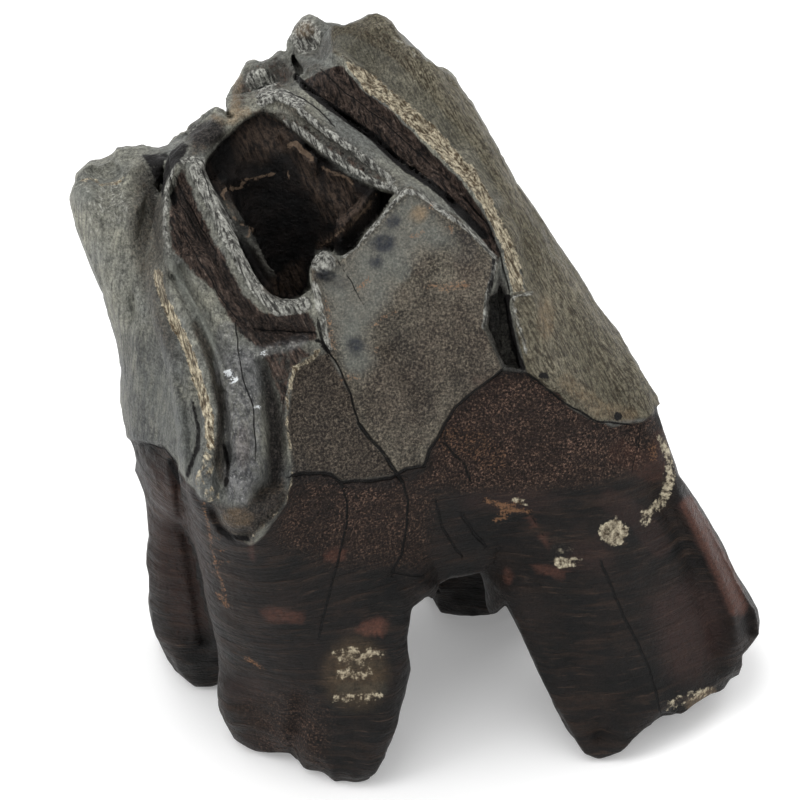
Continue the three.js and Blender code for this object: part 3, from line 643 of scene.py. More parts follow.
# Marks of colour, some of them painted highlight, sheen and shade: a line with its half width, an
# area with its soft edge, or a spot with its radii. The last number is the strength.
MARKS = {
    # Cream patches on the roots and the plate's rim, and painted highlight on the roll's left side and
    # the right root's right edge.
    "cream_and_highlight": [
        ("line", [(158, 272), (162, 292), (171, 315), (184, 340), (194, 368), (203, 395), (209, 420),
            (210, 446)], 4.5, 0.9),
        ("line", [(210, 446), (207, 465), (202, 482), (212, 498)], 7, 0.4),
        ("area", [(345, 62), (366, 92), (400, 117), (440, 156), (478, 200), (501, 246), (512, 292),
            (526, 291), (519, 262), (508, 232), (492, 201), (474, 168), (452, 146), (430, 122),
            (412, 107), (392, 90), (372, 74), (350, 62), (340, 58)], 2, 0.85),
        ("area", [(335, 649), (352, 647), (362, 652), (378, 647), (382, 655), (360, 664),
            (340, 664)], 5, 0.62),
        ("line", [(340, 675), (366, 675)], 5, 0.48),
        ("line", [(336, 697), (356, 699), (380, 696)], 5, 0.42),
        ("area", [(551, 561), (560, 556), (570, 559), (583, 557), (576, 566), (566, 568),
            (556, 571)], 2.5, 0.9),
        ("line", [(552, 545), (560, 552), (572, 548)], 2, 0.45),
        ("area", [(600, 529), (608, 521), (618, 518), (622, 524), (630, 530), (626, 540), (614, 545),
            (606, 543)], 2.5, 0.9),
        ("line", [(662, 438), (668, 458), (670, 478)], 4, 0.6),
        ("line", [(670, 478), (665, 494), (656, 506), (646, 516)], 5.5, 0.6),
        ("line", [(667, 706), (688, 697), (710, 690)], 5, 0.35),
        ("spot", (521, 502), (5, 4), 1.0),
        ("line", [(79, 183), (91, 180), (103, 186), (114, 183), (123, 178)], 2, 0.6),
        ("line", [(318, 351), (309, 359), (294, 369), (291, 385)], 2.5, 0.8),
        ("line", [(291, 385), (287, 400), (287, 425), (291, 450)], 1.8, 0.6),
        ("line", [(291, 450), (292, 480), (286, 505), (268, 524), (246, 540)], 1.2, 0.5),
    ],
    # Pale worn enamel on the crests, and painted highlight on the far lobe's left face and the outer
    # wall's top.
    "pale_and_highlight": [
        ("line", [(198, 170), (210, 196), (222, 220), (235, 246), (247, 270), (260, 290), (280, 308),
            (304, 305)], 9, 0.75),
        ("line", [(193, 162), (208, 190), (229, 219), (246, 256), (264, 294)], 3, 0.9),
        ("line", [(175, 165), (166, 190), (165, 212), (166, 232), (169, 255)], 3, 0.6),
        ("spot", (110, 206), (22, 26), 0.4),
        ("spot", (260, 80), (16, 12), 0.8),
        ("spot", (306, 36), (16, 18), 0.75),
        ("line", [(345, 60), (372, 84), (392, 104)], 9, 0.35),
        ("line", [(180, 162), (192, 159), (204, 162)], 3, 0.7),
        ("line", [(286, 122), (310, 138), (326, 151), (350, 168), (374, 182), (396, 190)], 4, 0.7),
        ("line", [(262, 100), (280, 94), (300, 103)], 7, 0.7),
        ("line", [(300, 112), (322, 128), (346, 146), (372, 164), (392, 180)], 4, 0.75),
        ("spot", (323, 262), (13, 11), 1.0),
        ("line", [(314, 284), (320, 305), (327, 335), (329, 350)], 4, 0.6),
        ("line", [(345, 256), (364, 236), (385, 212), (404, 190), (417, 192), (438, 209), (468, 230),
            (495, 257), (492, 275), (486, 300), (484, 326)], 3, 0.65),
        ("line", [(255, 358), (268, 350), (285, 345), (303, 340)], 4, 0.4),
        ("line", [(330, 30), (372, 19), (398, 42), (430, 66), (458, 90), (486, 135)], 4, 0.3),
        ("spot", (303, 36), (10, 12), 0.5),
        ("line", [(206, 128), (222, 119)], 4, 0.4),
        ("line", [(82, 190), (90, 210), (98, 240)], 8, 0.35),
        ("line", [(514, 300), (518, 326), (526, 352)], 3, 0.5),
        ("line", [(514, 296), (532, 293)], 2.5, 0.6),
    ],
    "blue": [
        ("line", [(166, 250), (170, 262), (181, 282), (191, 302), (201, 321), (214, 345),
            (219, 368)], 4, 0.8),
        ("area", [(316, 284), (330, 264), (346, 262), (370, 234), (400, 200), (412, 192), (424, 206),
            (450, 232), (452, 246), (420, 250), (402, 272), (390, 298), (370, 322), (368, 346),
            (374, 362), (360, 376), (344, 362), (336, 334), (328, 306)], 12, 0.75),
        ("line", [(398, 268), (378, 288), (362, 306)], 13, 0.6),
        ("spot", (358, 364), (12, 10), 0.7),
        ("line", [(345, 45), (378, 62), (410, 90), (440, 126), (466, 160), (490, 200)], 12, 0.35),
        ("spot", (84, 196), (12, 8), 0.5),
        ("line", [(150, 380), (172, 420), (184, 460)], 16, 0.3),
    ],
    "steel": [
        ("area", [(222, 356), (236, 346), (256, 350), (260, 380), (260, 430), (256, 480), (246, 504),
            (228, 500), (224, 460), (224, 400)], 6, 0.9),
        ("line", [(232, 368), (246, 356), (268, 350), (303, 339)], 6, 0.5),
        ("line", [(226, 330), (222, 350), (224, 380)], 8, 0.6),
    ],
    # Painted highlights: small glints of light on the folds.
    "painted_highlight": [
        ("spot", (228, 373), (4.5, 3.5), 0.9),
        ("spot", (234, 379), (3.5, 3), 0.8),
        ("spot", (257, 406), (4, 3), 0.7),
        ("spot", (264, 353), (4, 2.5), 0.5),
    ],
    "navy": [
        ("spot", (383, 243), (12, 10), 1.0),
        ("spot", (393, 222), (8, 7), 0.95),
        ("spot", (377, 262), (7, 6), 0.95),
        ("spot", (355, 346), (9, 8), 1.0),
        ("spot", (326, 275), (10, 5), 0.95),
        ("spot", (340, 282), (10, 8), 0.35),
        ("spot", (462, 250), (14, 18), 0.25),
    ],
    "orange": [
        ("line", [(430, 285), (446, 289), (462, 286)], 4, 0.5),
        ("spot", (467, 287), (4, 3), 0.7),
        ("line", [(372, 273), (364, 283), (357, 289)], 1.5, 0.8),
        ("line", [(374, 324), (384, 318), (396, 311)], 2, 0.6),
        ("line", [(342, 379), (363, 377)], 2, 0.6),
        ("spot", (376, 350), (3, 3), 0.7),
        ("line", [(407, 238), (424, 233)], 2, 0.6),
        ("spot", (449, 229), (4, 5), 0.5),
        ("spot", (430, 206), (4, 4), 0.5),
        ("line", [(327, 300), (330, 322), (334, 348)], 3, 0.4),
        ("line", [(452, 440), (475, 444), (492, 458)], 15, 0.36),
        ("line", [(483, 500), (500, 505), (512, 510), (532, 512)], 1.8, 1.0),
        ("line", [(494, 521), (506, 514), (520, 502)], 1.8, 1.0),
        ("line", [(500, 505), (505, 516)], 3, 0.9),
        ("line", [(204, 504), (209, 530), (213, 550), (219, 576), (226, 600)], 1.1, 0.85),
        ("line", [(205, 562), (232, 563)], 0.9, 0.7),
        ("line", [(217, 592), (224, 600), (229, 607)], 2.2, 0.8),
        ("line", [(245, 656), (262, 666)], 2, 0.7),
        ("spot", (653, 451), (4, 10), 0.7),
        ("line", [(206, 536), (222, 538)], 0.8, 0.6),
        ("line", [(207, 548), (226, 551)], 0.8, 0.6),
        ("line", [(208, 571), (226, 573)], 0.8, 0.6),
    ],
    "tan": [
        ("spot", (419, 214), (9, 8), 0.8),
        ("spot", (237, 518), (15, 9), 0.8),
        ("spot", (546, 318), (8, 20), 0.5),
        ("line", [(566, 380), (600, 410), (630, 415)], 8, 0.4),
        ("line", [(236, 104), (232, 120), (246, 112)], 5, 0.7),
        ("line", [(238, 78), (236, 96)], 4, 0.6),
        ("line", [(214, 118), (222, 122)], 4, 0.5),
        ("spot", (356, 674), (30, 34), 0.3),
        ("spot", (305, 30), (10, 8), 0.5),
        ("line", [(690, 704), (712, 692)], 5, 0.5),
    ],
    # Salmon patches on the roots, and a painted sheen along the right root's right face.
    "peach_and_sheen": [
        ("area", [(322, 555), (334, 548), (346, 549), (345, 560), (332, 562)], 2, 0.7),
        ("area", [(354, 632), (362, 622), (378, 618), (390, 625), (386, 634), (366, 636)], 2, 0.8),
        ("area", [(258, 612), (270, 607), (304, 612), (302, 622), (270, 623)], 2, 0.5),
        ("spot", (507, 576), (5, 8), 0.5),
        ("line", [(692, 506), (712, 545), (728, 580), (737, 606)], 10, 0.6),
        ("area", [(150, 460), (186, 478), (200, 540), (208, 630), (176, 640), (152, 560)], 12, 0.15),
        ("line", [(620, 452), (652, 470), (664, 440)], 12, 0.25),
        ("line", [(540, 570), (560, 572)], 5, 0.5),
        ("line", [(528, 515), (548, 543)], 1.5, 0.6),
    ],
    "red": [
        ("area", [(650, 600), (690, 580), (716, 596), (726, 626), (720, 650), (700, 676), (680, 680),
            (664, 664)], 16, 0.55),
        ("spot", (680, 652), (12, 18), 0.5),
        ("line", [(690, 505), (708, 542), (724, 578), (734, 606)], 10, 0.55),
        ("line", [(250, 542), (253, 559)], 2, 0.8),
        ("line", [(610, 500), (640, 520), (660, 545)], 12, 0.3),
        ("spot", (243, 446), (8, 22), 0.4),
        ("spot", (245, 690), (22, 14), 0.2),
        ("spot", (512, 500), (50, 12), 0.3),
        ("spot", (488, 382), (16, 7), 0.5),
        ("spot", (590, 556), (24, 16), 0.3),
    ],
    "teal": [
        ("line", [(341, 688), (382, 688)], 6, 0.8),
        ("line", [(352, 665), (378, 665)], 3, 0.5),
    ],
    "brown": [
        ("area", [(183, 168), (190, 185), (198, 210), (212, 238), (226, 262), (242, 292), (262, 312),
            (290, 316), (309, 310), (318, 330), (318, 340), (300, 342), (262, 350), (240, 336),
            (215, 292), (190, 270), (172, 250), (169, 210), (175, 182)], 6, 0.95),
        ("area", [(262, 356), (300, 344), (312, 354), (292, 368), (286, 398), (286, 450), (280, 400),
            (270, 372)], 3, 0.6),
        ("area", [(300, 82), (335, 112), (371, 137), (420, 178), (462, 214), (486, 245), (497, 262),
            (501, 252), (488, 222), (462, 184), (430, 150), (394, 114), (362, 90), (343, 66),
            (320, 72)], 2, 0.9),
        ("area", [(230, 123), (244, 112), (262, 106), (290, 114), (330, 142), (366, 166), (402, 190),
            (372, 188), (324, 157), (296, 133), (274, 117), (250, 115)], 3, 0.5),
        ("area", [(231, 98), (245, 69), (278, 54), (296, 76), (270, 95), (236, 116)], 3, 0.45),
    ],
    "coarse": [
        ("area", [(307, 359), (293, 369), (291, 395), (286, 426), (291, 448), (293, 475), (331, 473),
            (340, 481), (392, 476), (403, 482), (387, 459), (359, 424), (351, 394), (342, 375),
            (328, 353), (315, 355)], 3, 1.0),
        ("area", [(370, 340), (400, 318), (420, 300), (470, 296), (484, 316), (494, 350), (484, 378),
            (450, 400), (426, 440), (404, 470), (387, 450), (362, 420), (355, 394)], 22, 0.45),
    ],
    "grain": [
        ("area", [(428, 470), (440, 434), (455, 408), (492, 379), (526, 375), (558, 394), (596, 422),
            (652, 418), (662, 440), (640, 466), (590, 482), (520, 490), (450, 488),
            (410, 484)], 8, 1.0),
        ("area", [(296, 476), (400, 482), (430, 500), (420, 560), (330, 560), (280, 540),
            (290, 500)], 16, 0.7),
        ("area", [(240, 700), (300, 690), (330, 720), (320, 770), (260, 750)], 16, 0.4),
    ],
    # Painted shade in the valley, the split, the gap, the grooves and the hollows.
    "crevice_shade": [
        ("area", [(124, 151), (140, 153), (150, 172), (158, 190), (163, 206), (165, 188), (173, 170),
            (184, 158), (190, 145), (182, 140), (172, 150), (152, 153)], 3, 0.7),
        ("line", [(169, 461), (180, 480)], 3, 1.0),
        ("line", [(224, 446), (228, 466), (226, 486)], 2.5, 0.7),
        ("spot", (173, 198), (4, 7), 0.9),
        ("line", [(217, 526), (228, 537), (247, 539)], 2.5, 0.9),
        ("line", [(507, 296), (509, 320), (514, 346), (522, 368)], 3, 0.9),
        ("line", [(297, 78), (321, 101), (347, 118), (371, 136), (400, 162), (436, 188),
            (484, 236)], 4, 0.9),
        ("line", [(493, 260), (490, 292)], 3, 0.6),
        ("spot", (544, 376), (5, 4), 0.9),
        ("spot", (617, 416), (5, 4), 0.9),
        ("line", [(194, 404), (198, 430), (196, 452), (188, 476)], 2.5, 0.7),
        ("line", [(405, 600), (408, 640), (404, 690)], 4, 0.4),
        ("line", [(318, 340), (328, 352)], 2.5, 0.9),
    ],
    "shade": [
        ("area", [(260, 362), (270, 375), (281, 400), (285, 430), (286, 470), (278, 490), (268, 484),
            (266, 430), (263, 395)], 6, 1.0),
        ("spot", (206, 133), (20, 13), 1.0),
        ("line", [(180, 190), (192, 222), (210, 252), (232, 288), (252, 312)], 4, 0.6),
        ("line", [(212, 385), (219, 410), (220, 436), (214, 462)], 3, 0.65),
        ("line", [(398, 326), (410, 366), (424, 410)], 13, 0.3),
        ("line", [(470, 348), (484, 366), (488, 376)], 8, 0.2),
        ("line", [(316, 352), (324, 390), (318, 440)], 8, 0.2),
        ("line", [(150, 176), (158, 214), (162, 250), (166, 300)], 6, 0.45),
        ("spot", (470, 380), (20, 10), 0.3),
        ("line", [(478, 552), (492, 580), (506, 606)], 5, 0.5),
        ("area", [(487, 577), (495, 582), (508, 603), (497, 612), (488, 606)], 2, 1.0),
        ("area", [(552, 544), (566, 543), (574, 552), (562, 558)], 3, 0.6),
        ("area", [(206, 498), (214, 512), (224, 530), (246, 540), (262, 528), (280, 512), (284, 492),
            (262, 492), (246, 508), (226, 506)], 5, 0.6),
        ("area", [(236, 318), (300, 316), (316, 326), (312, 338), (262, 346), (240, 334)], 5, 0.5),
        ("area", [(498, 268), (494, 291), (486, 297), (485, 328), (496, 356), (503, 369), (514, 372),
            (527, 374), (519, 346), (512, 319), (506, 292)], 2, 0.8),
        ("line", [(294, 480), (330, 478), (342, 486), (390, 482)], 5, 0.5),
    ],
    # Dark brown patches, and painted shade on the far lobe's right side beside the valley.
    "umber_and_shade": [
        ("area", [(134, 178), (142, 160), (151, 178), (162, 197), (164, 219), (166, 250), (158, 270),
            (162, 300), (172, 330), (176, 360), (160, 340), (148, 300), (134, 262), (128, 226),
            (130, 200)], 10, 0.8),
        ("area", [(210, 504), (216, 526), (228, 538), (246, 543), (256, 534), (270, 524), (282, 511),
            (288, 498), (284, 478), (262, 488), (245, 506), (228, 508)], 4, 1.0),
        ("line", [(196, 325), (206, 350), (214, 374), (221, 400), (222, 430), (219, 456),
            (222, 478)], 5, 0.85),
        ("area", [(262, 352), (300, 342), (316, 350), (300, 364), (288, 378), (284, 400), (276, 384),
            (264, 368)], 5, 0.7),
        ("area", [(270, 100), (300, 104), (340, 136), (380, 166), (410, 190), (440, 214), (470, 240),
            (486, 262), (452, 232), (400, 188), (350, 164), (300, 122)], 7, 0.75),
        ("line", [(345, 30), (372, 40), (400, 64)], 12, 0.4),
        ("area", [(190, 140), (214, 115), (228, 124), (212, 148), (190, 160)], 5, 0.95),
        ("area", [(230, 108), (236, 86), (246, 66), (254, 66), (246, 92), (238, 116)], 4, 0.5),
        ("area", [(270, 62), (286, 58), (300, 76), (286, 92), (268, 88)], 5, 0.6),
        ("line", [(300, 46), (318, 52), (330, 44)], 7, 0.4),
        ("line", [(300, 66), (320, 70), (345, 86), (366, 104)], 6, 0.5),
    ],
    "low": [
        ("area", [(118, 330), (160, 330), (200, 410), (215, 470), (225, 520), (260, 545), (285, 510),
            (295, 470), (230, 440), (205, 480), (180, 475), (120, 445)], 26, 0.8),
    ],
    # The pit's walls: dentine grain darkened with painted shade.
    "pit_wall_and_shade": [
        ("area", [(234, 134), (252, 118), (268, 116), (285, 126), (294, 136), (286, 150), (262, 158),
            (240, 160)], 9, 0.9),
        ("area", [(287, 148), (295, 143), (314, 159), (320, 182), (336, 222), (326, 220),
            (306, 188)], 2, 0.8),
        ("area", [(323, 168), (333, 172), (347, 176), (353, 184), (356, 193), (369, 197), (376, 193),
            (369, 206), (358, 221), (347, 225), (338, 224), (328, 196)], 2, 1.0),
        ("area", [(262, 290), (272, 278), (286, 268), (302, 262), (306, 280), (294, 298),
            (276, 298)], 3, 1.0),
        ("line", [(348, 224), (333, 237), (318, 246)], 4, 1.0),
        ("line", [(206, 166), (222, 190), (236, 214)], 4, 0.4),
    ],
    "sheet_edge": [
        ("line", [(221, 195), (227, 188), (240, 188), (243, 181), (262, 177), (273, 173),
            (289, 175)], 1.6, 0.9),
        ("line", [(221, 195), (227, 205), (232, 215), (240, 223), (252, 229), (248, 237)], 1.4, 0.7),
        ("line", [(287, 146), (295, 143), (312, 160)], 2.5, 1.0),
        ("line", [(323, 168), (333, 173), (347, 177), (353, 184)], 1.5, 0.8),
        ("line", [(376, 194), (366, 208), (348, 226), (320, 247)], 1.5, 0.7),
    ],
}
WARP_PX = 2.2  # how far a mark's edge wanders
SHAKE_PX = 1.6  # how far a crack wanders
CRACK_FAR = 20  # crack widths at which a crack no longer counts
CRACKS = [  # width in pixels, line
    (1.8, [(328, 351), (336, 362), (342, 375), (351, 394), (359, 424)]),
    (3.6, [(359, 424), (387, 459), (403, 482)]),
    (2.6, [(403, 482), (408, 502), (407, 525), (402, 553), (391, 573)]),
    (2.4, [(340, 481), (346, 500), (347, 522), (342, 545), (333, 581), (325, 611), (319, 636)]),
    (2.0, [(391, 573), (421, 577)]),
    (2.2, [(436, 502), (442, 527), (461, 555)]),
    (2.4, [(444, 442), (456, 456), (466, 466), (470, 482)]),
    (3.2, [(462, 515), (472, 530), (484, 545)]),
    (2.4, [(601, 563), (612, 589), (622, 614), (637, 642), (647, 665), (655, 691), (660, 709)]),
    (1.0, [(525, 507), (550, 543)]),
    (1.0, [(641, 426), (636, 452), (632, 472)]),
    (1.2, [(236, 322), (238, 344), (243, 379), (252, 403), (255, 419), (255, 463)]),
    (0.9, [(339, 262), (349, 278), (356, 291), (363, 303)]),
    (2.4, [(328, 351), (322, 340), (318, 322)]),
    (3.6, [(293, 476), (304, 473), (331, 474), (341, 482), (366, 481), (392, 477), (405, 469),
        (424, 466)]),
    (3.0, [(424, 466), (430, 450), (440, 434), (455, 408)]),
    (2.4, [(455, 408), (468, 396), (481, 386), (492, 378), (502, 370)]),
    (2.0, [(526, 373), (539, 381), (550, 391), (566, 404), (596, 421), (629, 424)]),
    (1.2, [(170, 176), (176, 195), (185, 211), (200, 240)]),
    (1.2, [(176, 176), (186, 200), (200, 226), (216, 252)]),
    (1.0, [(182, 230), (200, 262), (222, 300), (238, 320)]),
    (1.0, [(202, 170), (212, 196)]),
    (1.6, [(463, 197), (487, 224), (500, 254), (510, 292)]),
    (1.4, [(122, 444), (150, 445), (165, 449), (176, 463)]),
    (1.3, [(255, 329), (280, 331), (312, 332)]),
    (1.2, [(322, 70), (345, 92), (372, 112), (402, 138), (430, 164)]),
    (1.2, [(286, 92), (302, 98), (318, 110), (334, 126)]),
]


def drawn(marks):
    """A map of how strong these marks are."""
    image = np.zeros(pixel_u.shape)
    for kind, where, size, strength in marks:
        if kind == "spot":
            (cu, cv), (ru, rv) = where, size
            part = boxed([where], 1.5 * max(size))
            r = np.hypot((pixel_u[part] - cu) / ru, (pixel_v[part] - cv) / rv)
            value = smooth(1.35, 0.65, r)
        elif kind == "line":
            part = boxed(where, size + 4)
            d, _, _ = line_distance(pixel_u[part], pixel_v[part], where)
            value = smooth(size + 1.5, size - 1.5, d)
        else:
            part = boxed(where, size + 2)
            value = smooth(size, -size, area_distance(pixel_u[part], pixel_v[part], where))
        image[part] = np.maximum(image[part], strength * value)
    return image


count = len(reduced.vertices)
points = np.zeros(count * 3)
reduced.vertices.foreach_get("co", points)
points = points.reshape(-1, 3) * 1000
normal = np.zeros(count * 3)
reduced.vertices.foreach_get("normal", normal)
normal = normal.reshape(-1, 3)
u, v, depth = to_photo(points)
sight = points - EYE
sight /= np.linalg.norm(sight, axis=1, keepdims=True)
facing = -(normal * sight).sum(1)
front = first_depth(nearest, u, v)
shown = smooth(5.5, 3.5, depth - front) * smooth(-0.25, 0.05, facing)


def store(name, values):
    """Keeps a number for each vertex, for the material to read."""
    layer = reduced.attributes.new(name, "FLOAT", "POINT")
    layer.data.foreach_set("value", values.astype(np.float32))


warp_u = u + WARP_PX * noise(points, 2.5, 41, 2)
warp_v = v + WARP_PX * noise(points, 2.5, 42, 2)
for name, marks in MARKS.items():
    store(name, lookup(drawn(marks), warp_u, warp_v) * shown)
store("crown", lookup(neck_map, warp_u, warp_v) / PX_PER_MM * shown + above_neck(points) * (1 - shown))
store("plate", np.where(shown > 0.5, lookup(area_map(PLATE), u, v) / PX_PER_MM, 9.0))
laid = points - CENTRING
rim = PIT_PLANE[0] * laid[:, 0] + PIT_PLANE[1] * laid[:, 1] + PIT_PLANE[2]
in_pit = smooth(1.0, -3.0, lookup(pit_map, u, v)) * smooth(-0.5, -5.0, laid[:, 2] - rim)
# The pit's painted shade stays off the tooth's back.
before_back = smooth(PIT_BACK + 1.0, PIT_BACK - 1.0, laid[:, 1])
store("pit", in_pit * np.maximum(shown, before_back))
wall = smooth(-1.0, 1.0, lookup(area_map(WALL), u, v) * -1.0)
store("wall", wall * shown)
nearest_crack = np.full(count, 1e9)
crack_side = np.zeros(count)
shake_u = u + SHAKE_PX * noise(points, 1.8, 43, 2)
shake_v = v + SHAKE_PX * noise(points, 1.8, 44, 2)
for wide, line in CRACKS:
    d, side, _ = line_distance(shake_u, shake_v, line)
    d = d / wide
    closer = d < nearest_crack
    nearest_crack = np.where(closer, d, nearest_crack)
    crack_side = np.where(closer, side, crack_side)
nearest_crack = np.where(shown > 0.5, np.minimum(nearest_crack, CRACK_FAR), CRACK_FAR)
store("crack_near", nearest_crack)
store("crack_side", nearest_crack * crack_side)


# The material.
def srgb(red, green, blue):
    """A linear colour from 0 to 255 steps."""
    parts = [c / 255 for c in (red, green, blue)]
    return tuple(c / 12.92 if c <= 0.04045 else ((c + 0.055) / 1.055) ** 2.4 for c in parts) + (1.0,)


skin = bpy.data.materials.new("fossil_tooth")
skin.use_nodes = True
tree = skin.node_tree
tree.nodes.clear()


def put(kind, inputs=None, **settings):
    """A node with its settings, and its inputs linked or set."""
    n = tree.nodes.new(kind)
    for key, value in settings.items():
        setattr(n, key, value)
    for key, value in (inputs or {}).items():
        if isinstance(value, bpy.types.NodeSocket):
            tree.links.new(value, n.inputs[key])
        else:
            n.inputs[key].default_value = value
    return n


def mask(name):
    """A number kept for each vertex."""
    return put("ShaderNodeAttribute", attribute_name=name).outputs["Fac"]


def calc(operation, *values, clamp=False):
    """One step of arithmetic on numbers."""
    return put("ShaderNodeMath", dict(enumerate(values)), operation=operation,
        use_clamp=clamp).outputs[0]


def blend(factor, below, above, kind="MIX"):
    """One colour over another."""
    return put("ShaderNodeMix", {0: factor, 6: below, 7: above}, data_type="RGBA",
        blend_type=kind).outputs[2]


def span(value, low, high, to_low=0.0, to_high=1.0):
    """Maps low..high to to_low..to_high and stops there."""
    return put("ShaderNodeMapRange", {0: value, 1: low, 2: high, 3: to_low, 4: to_high}).outputs[0]


place = put("ShaderNodeTexCoord").outputs["Object"]


def cloud(size, detail=4.0, rough=0.55, distortion=0.0, way=None):
    """Noise with lumps of these sizes in millimetres, along X, Y, Z or along three given ways."""
    sizes = (size,) * 3 if isinstance(size, (int, float)) else size
    if way is None:
        way = ((1, 0, 0), (0, 1, 0), (0, 0, 1))
    dots = []
    for w, s in zip(way, sizes):
        dots.append(put("ShaderNodeVectorMath", {0: place, 1: tuple(1000 * c / s for c in w)},
            operation="DOT_PRODUCT").outputs["Value"])
    where = put("ShaderNodeCombineXYZ", dict(enumerate(dots))).outputs[0]
    return put("ShaderNodeTexNoise", {"Vector": where, "Scale": 1.0, "Detail": detail,
        "Roughness": rough, "Distortion": distortion}).outputs[0]


# Along the streaks and two ways across them, on the outer wall and on the folds.
WALL_WAY = ((0.53, -0.41, -0.745), (0.815, 0.0, 0.58), (-0.238, -0.914, 0.334))
FOLD_WAY = ((0.42, -0.25, -0.87), (0.9, 0.0, 0.435), (-0.11, -0.968, 0.227))
wide = cloud(9.0, 4, 0.6)
lumps = cloud(3.0, 5, 0.62)
fine = cloud(0.9, 4, 0.7)
dust = cloud(0.3, 3, 0.75)
layers = cloud((9.0, 9.0, 1.1), 5, 0.6, 0.4)
scratches = cloud((3.5, 3.5, 0.35), 4, 0.6)
upright = cloud((0.5, 0.5, 5.0), 4, 0.65)
striae = cloud((1.5, 0.28, 0.28), 4, 0.65, 0.2, WALL_WAY)
fold_grain = cloud((2.2, 0.4, 0.4), 4, 0.65, 0.3, FOLD_WAY)


def ragged(name, by, depth=1.6, low=0.35, high=0.62):
    """A mark whose edge is broken up by a cloud."""
    worn = calc("MULTIPLY_ADD", calc("SUBTRACT", by, 0.5), depth, mask(name))
    return calc("MULTIPLY", span(worn, low, high), span(mask(name), 0.0, 0.15))


def soft(name, by, amount=1.0):
    """A mark with a soft edge, lightly broken up by a cloud."""
    return calc("MULTIPLY", mask(name), span(by, 0.3, 0.62, 0.55 * amount, amount))


root = blend(span(wide, 0.4, 0.66), srgb(17, 16, 15), srgb(35, 28, 25))
root = blend(span(lumps, 0.42, 0.62, 0.0, 0.6), root, srgb(14, 14, 15))
root = blend(span(layers, 0.5, 0.72, 0.0, 0.8), root, srgb(50, 38, 31))
root = blend(span(scratches, 0.58, 0.76, 0.0, 0.45), root, srgb(92, 74, 62))
root = blend(soft("red", lumps, 0.7), root, srgb(78, 55, 50))
grain = blend(span(dust, 0.4, 0.6), srgb(14, 11, 10), srgb(92, 72, 62))
grain = blend(span(dust, 0.57, 0.68, 0.0, 0.9), grain, srgb(178, 142, 120))
grain = blend(span(lumps, 0.35, 0.65, 0.5, 0.0), grain, srgb(40, 31, 28))
root = blend(soft("grain", lumps), root, grain)
root = blend(soft("teal", fine), root, srgb(32, 40, 39))
# Salmon colour, also used as painted sheen on the right root.
root = blend(soft("peach_and_sheen", fine, 0.9), root, srgb(104, 68, 56))

enamel = blend(span(wide, 0.38, 0.64), srgb(112, 114, 110), srgb(146, 145, 132))
enamel = blend(span(upright, 0.42, 0.66, 0.0, 0.8), enamel, srgb(72, 72, 68))
outer = blend(span(wide, 0.38, 0.64), srgb(112, 107, 90), srgb(134, 128, 110))
outer = blend(span(striae, 0.44, 0.58, 0.0, 0.9), outer, srgb(62, 55, 44))
enamel = blend(mask("wall"), enamel, outer)
panel = blend(span(lumps, 0.38, 0.6), srgb(102, 97, 86), srgb(60, 55, 48))
panel = blend(span(wide, 0.42, 0.62, 0.0, 0.5), panel, srgb(96, 84, 74))
panel = blend(span(dust, 0.5, 0.68, 0.0, 0.6), panel, srgb(134, 126, 110))
panel = blend(span(dust, 0.5, 0.34, 0.0, 0.7), panel, srgb(44, 40, 34))
coarse = blend(span(dust, 0.4, 0.6), srgb(36, 31, 28), srgb(98, 89, 78))
coarse = blend(span(dust, 0.58, 0.7, 0.0, 0.7), coarse, srgb(136, 126, 110))
coarse = blend(span(lumps, 0.35, 0.65, 0.5, 0.0), coarse, srgb(58, 50, 44))
panel = blend(mask("coarse"), panel, coarse)
is_panel = span(mask("plate"), 0.15, -0.15)
enamel = blend(is_panel, enamel, panel)
enamel = blend(calc("MULTIPLY", mask("coarse"), calc("SUBTRACT", 1.0, is_panel)), enamel, coarse)
enamel = blend(soft("low", upright, 1.0), enamel, srgb(62, 64, 66))
# Dark brown, also used as painted shade on the far lobe's right side.
enamel = blend(soft("umber_and_shade", fine), enamel, blend(span(dust, 0.42, 0.62), srgb(34, 29, 24),
    srgb(72, 62, 52)))
enamel = blend(soft("blue", lumps, 0.9), enamel, srgb(118, 121, 115))
dentine = blend(span(fold_grain, 0.4, 0.62), srgb(22, 18, 17), srgb(88, 74, 66))
dentine = blend(span(fold_grain, 0.62, 0.72, 0.0, 0.7), dentine, srgb(150, 138, 126))
enamel = blend(ragged("brown", fine, 1.2), enamel, dentine)
# Pale enamel, also used as painted highlight.
bright = blend(span(fold_grain, 0.42, 0.6), srgb(66, 65, 62), srgb(186, 186, 178))
enamel = blend(ragged("pale_and_highlight", fine, 1.0), enamel, bright)
steel = blend(span(fine, 0.38, 0.62), srgb(66, 67, 70), srgb(122, 122, 122))
steel = blend(span(dust, 0.58, 0.7, 0.0, 0.7), steel, srgb(170, 170, 168))
enamel = blend(soft("steel", upright), enamel, steel)
enamel = blend(soft("red", fine, 0.5), enamel, srgb(84, 56, 48))

is_crown = span(mask("crown"), -0.15, 0.15)
colour = blend(is_crown, root, enamel)
veins = blend(is_crown, span(fine, 0.4, 0.6), span(fold_grain, 0.42, 0.6))
# Cream colour, also used as painted highlight on lit edges.
cream_and_highlight = blend(veins, srgb(82, 70, 54), srgb(188, 178, 154))
colour = blend(ragged("cream_and_highlight", fine, 2.0), colour, cream_and_highlight)
colour = blend(soft("tan", fine, 0.8), colour, srgb(138, 116, 88))
colour = blend(calc("MULTIPLY", ragged("orange", dust, 3.0, 0.45, 0.75), 0.65), colour,
    srgb(134, 98, 70))
colour = blend(soft("navy", fine), colour, srgb(38, 42, 50))
colour = blend(calc("MULTIPLY", mask("shade"), 0.95), colour, blend(span(dust, 0.45, 0.65),
    srgb(18, 16, 16), srgb(58, 53, 50)))
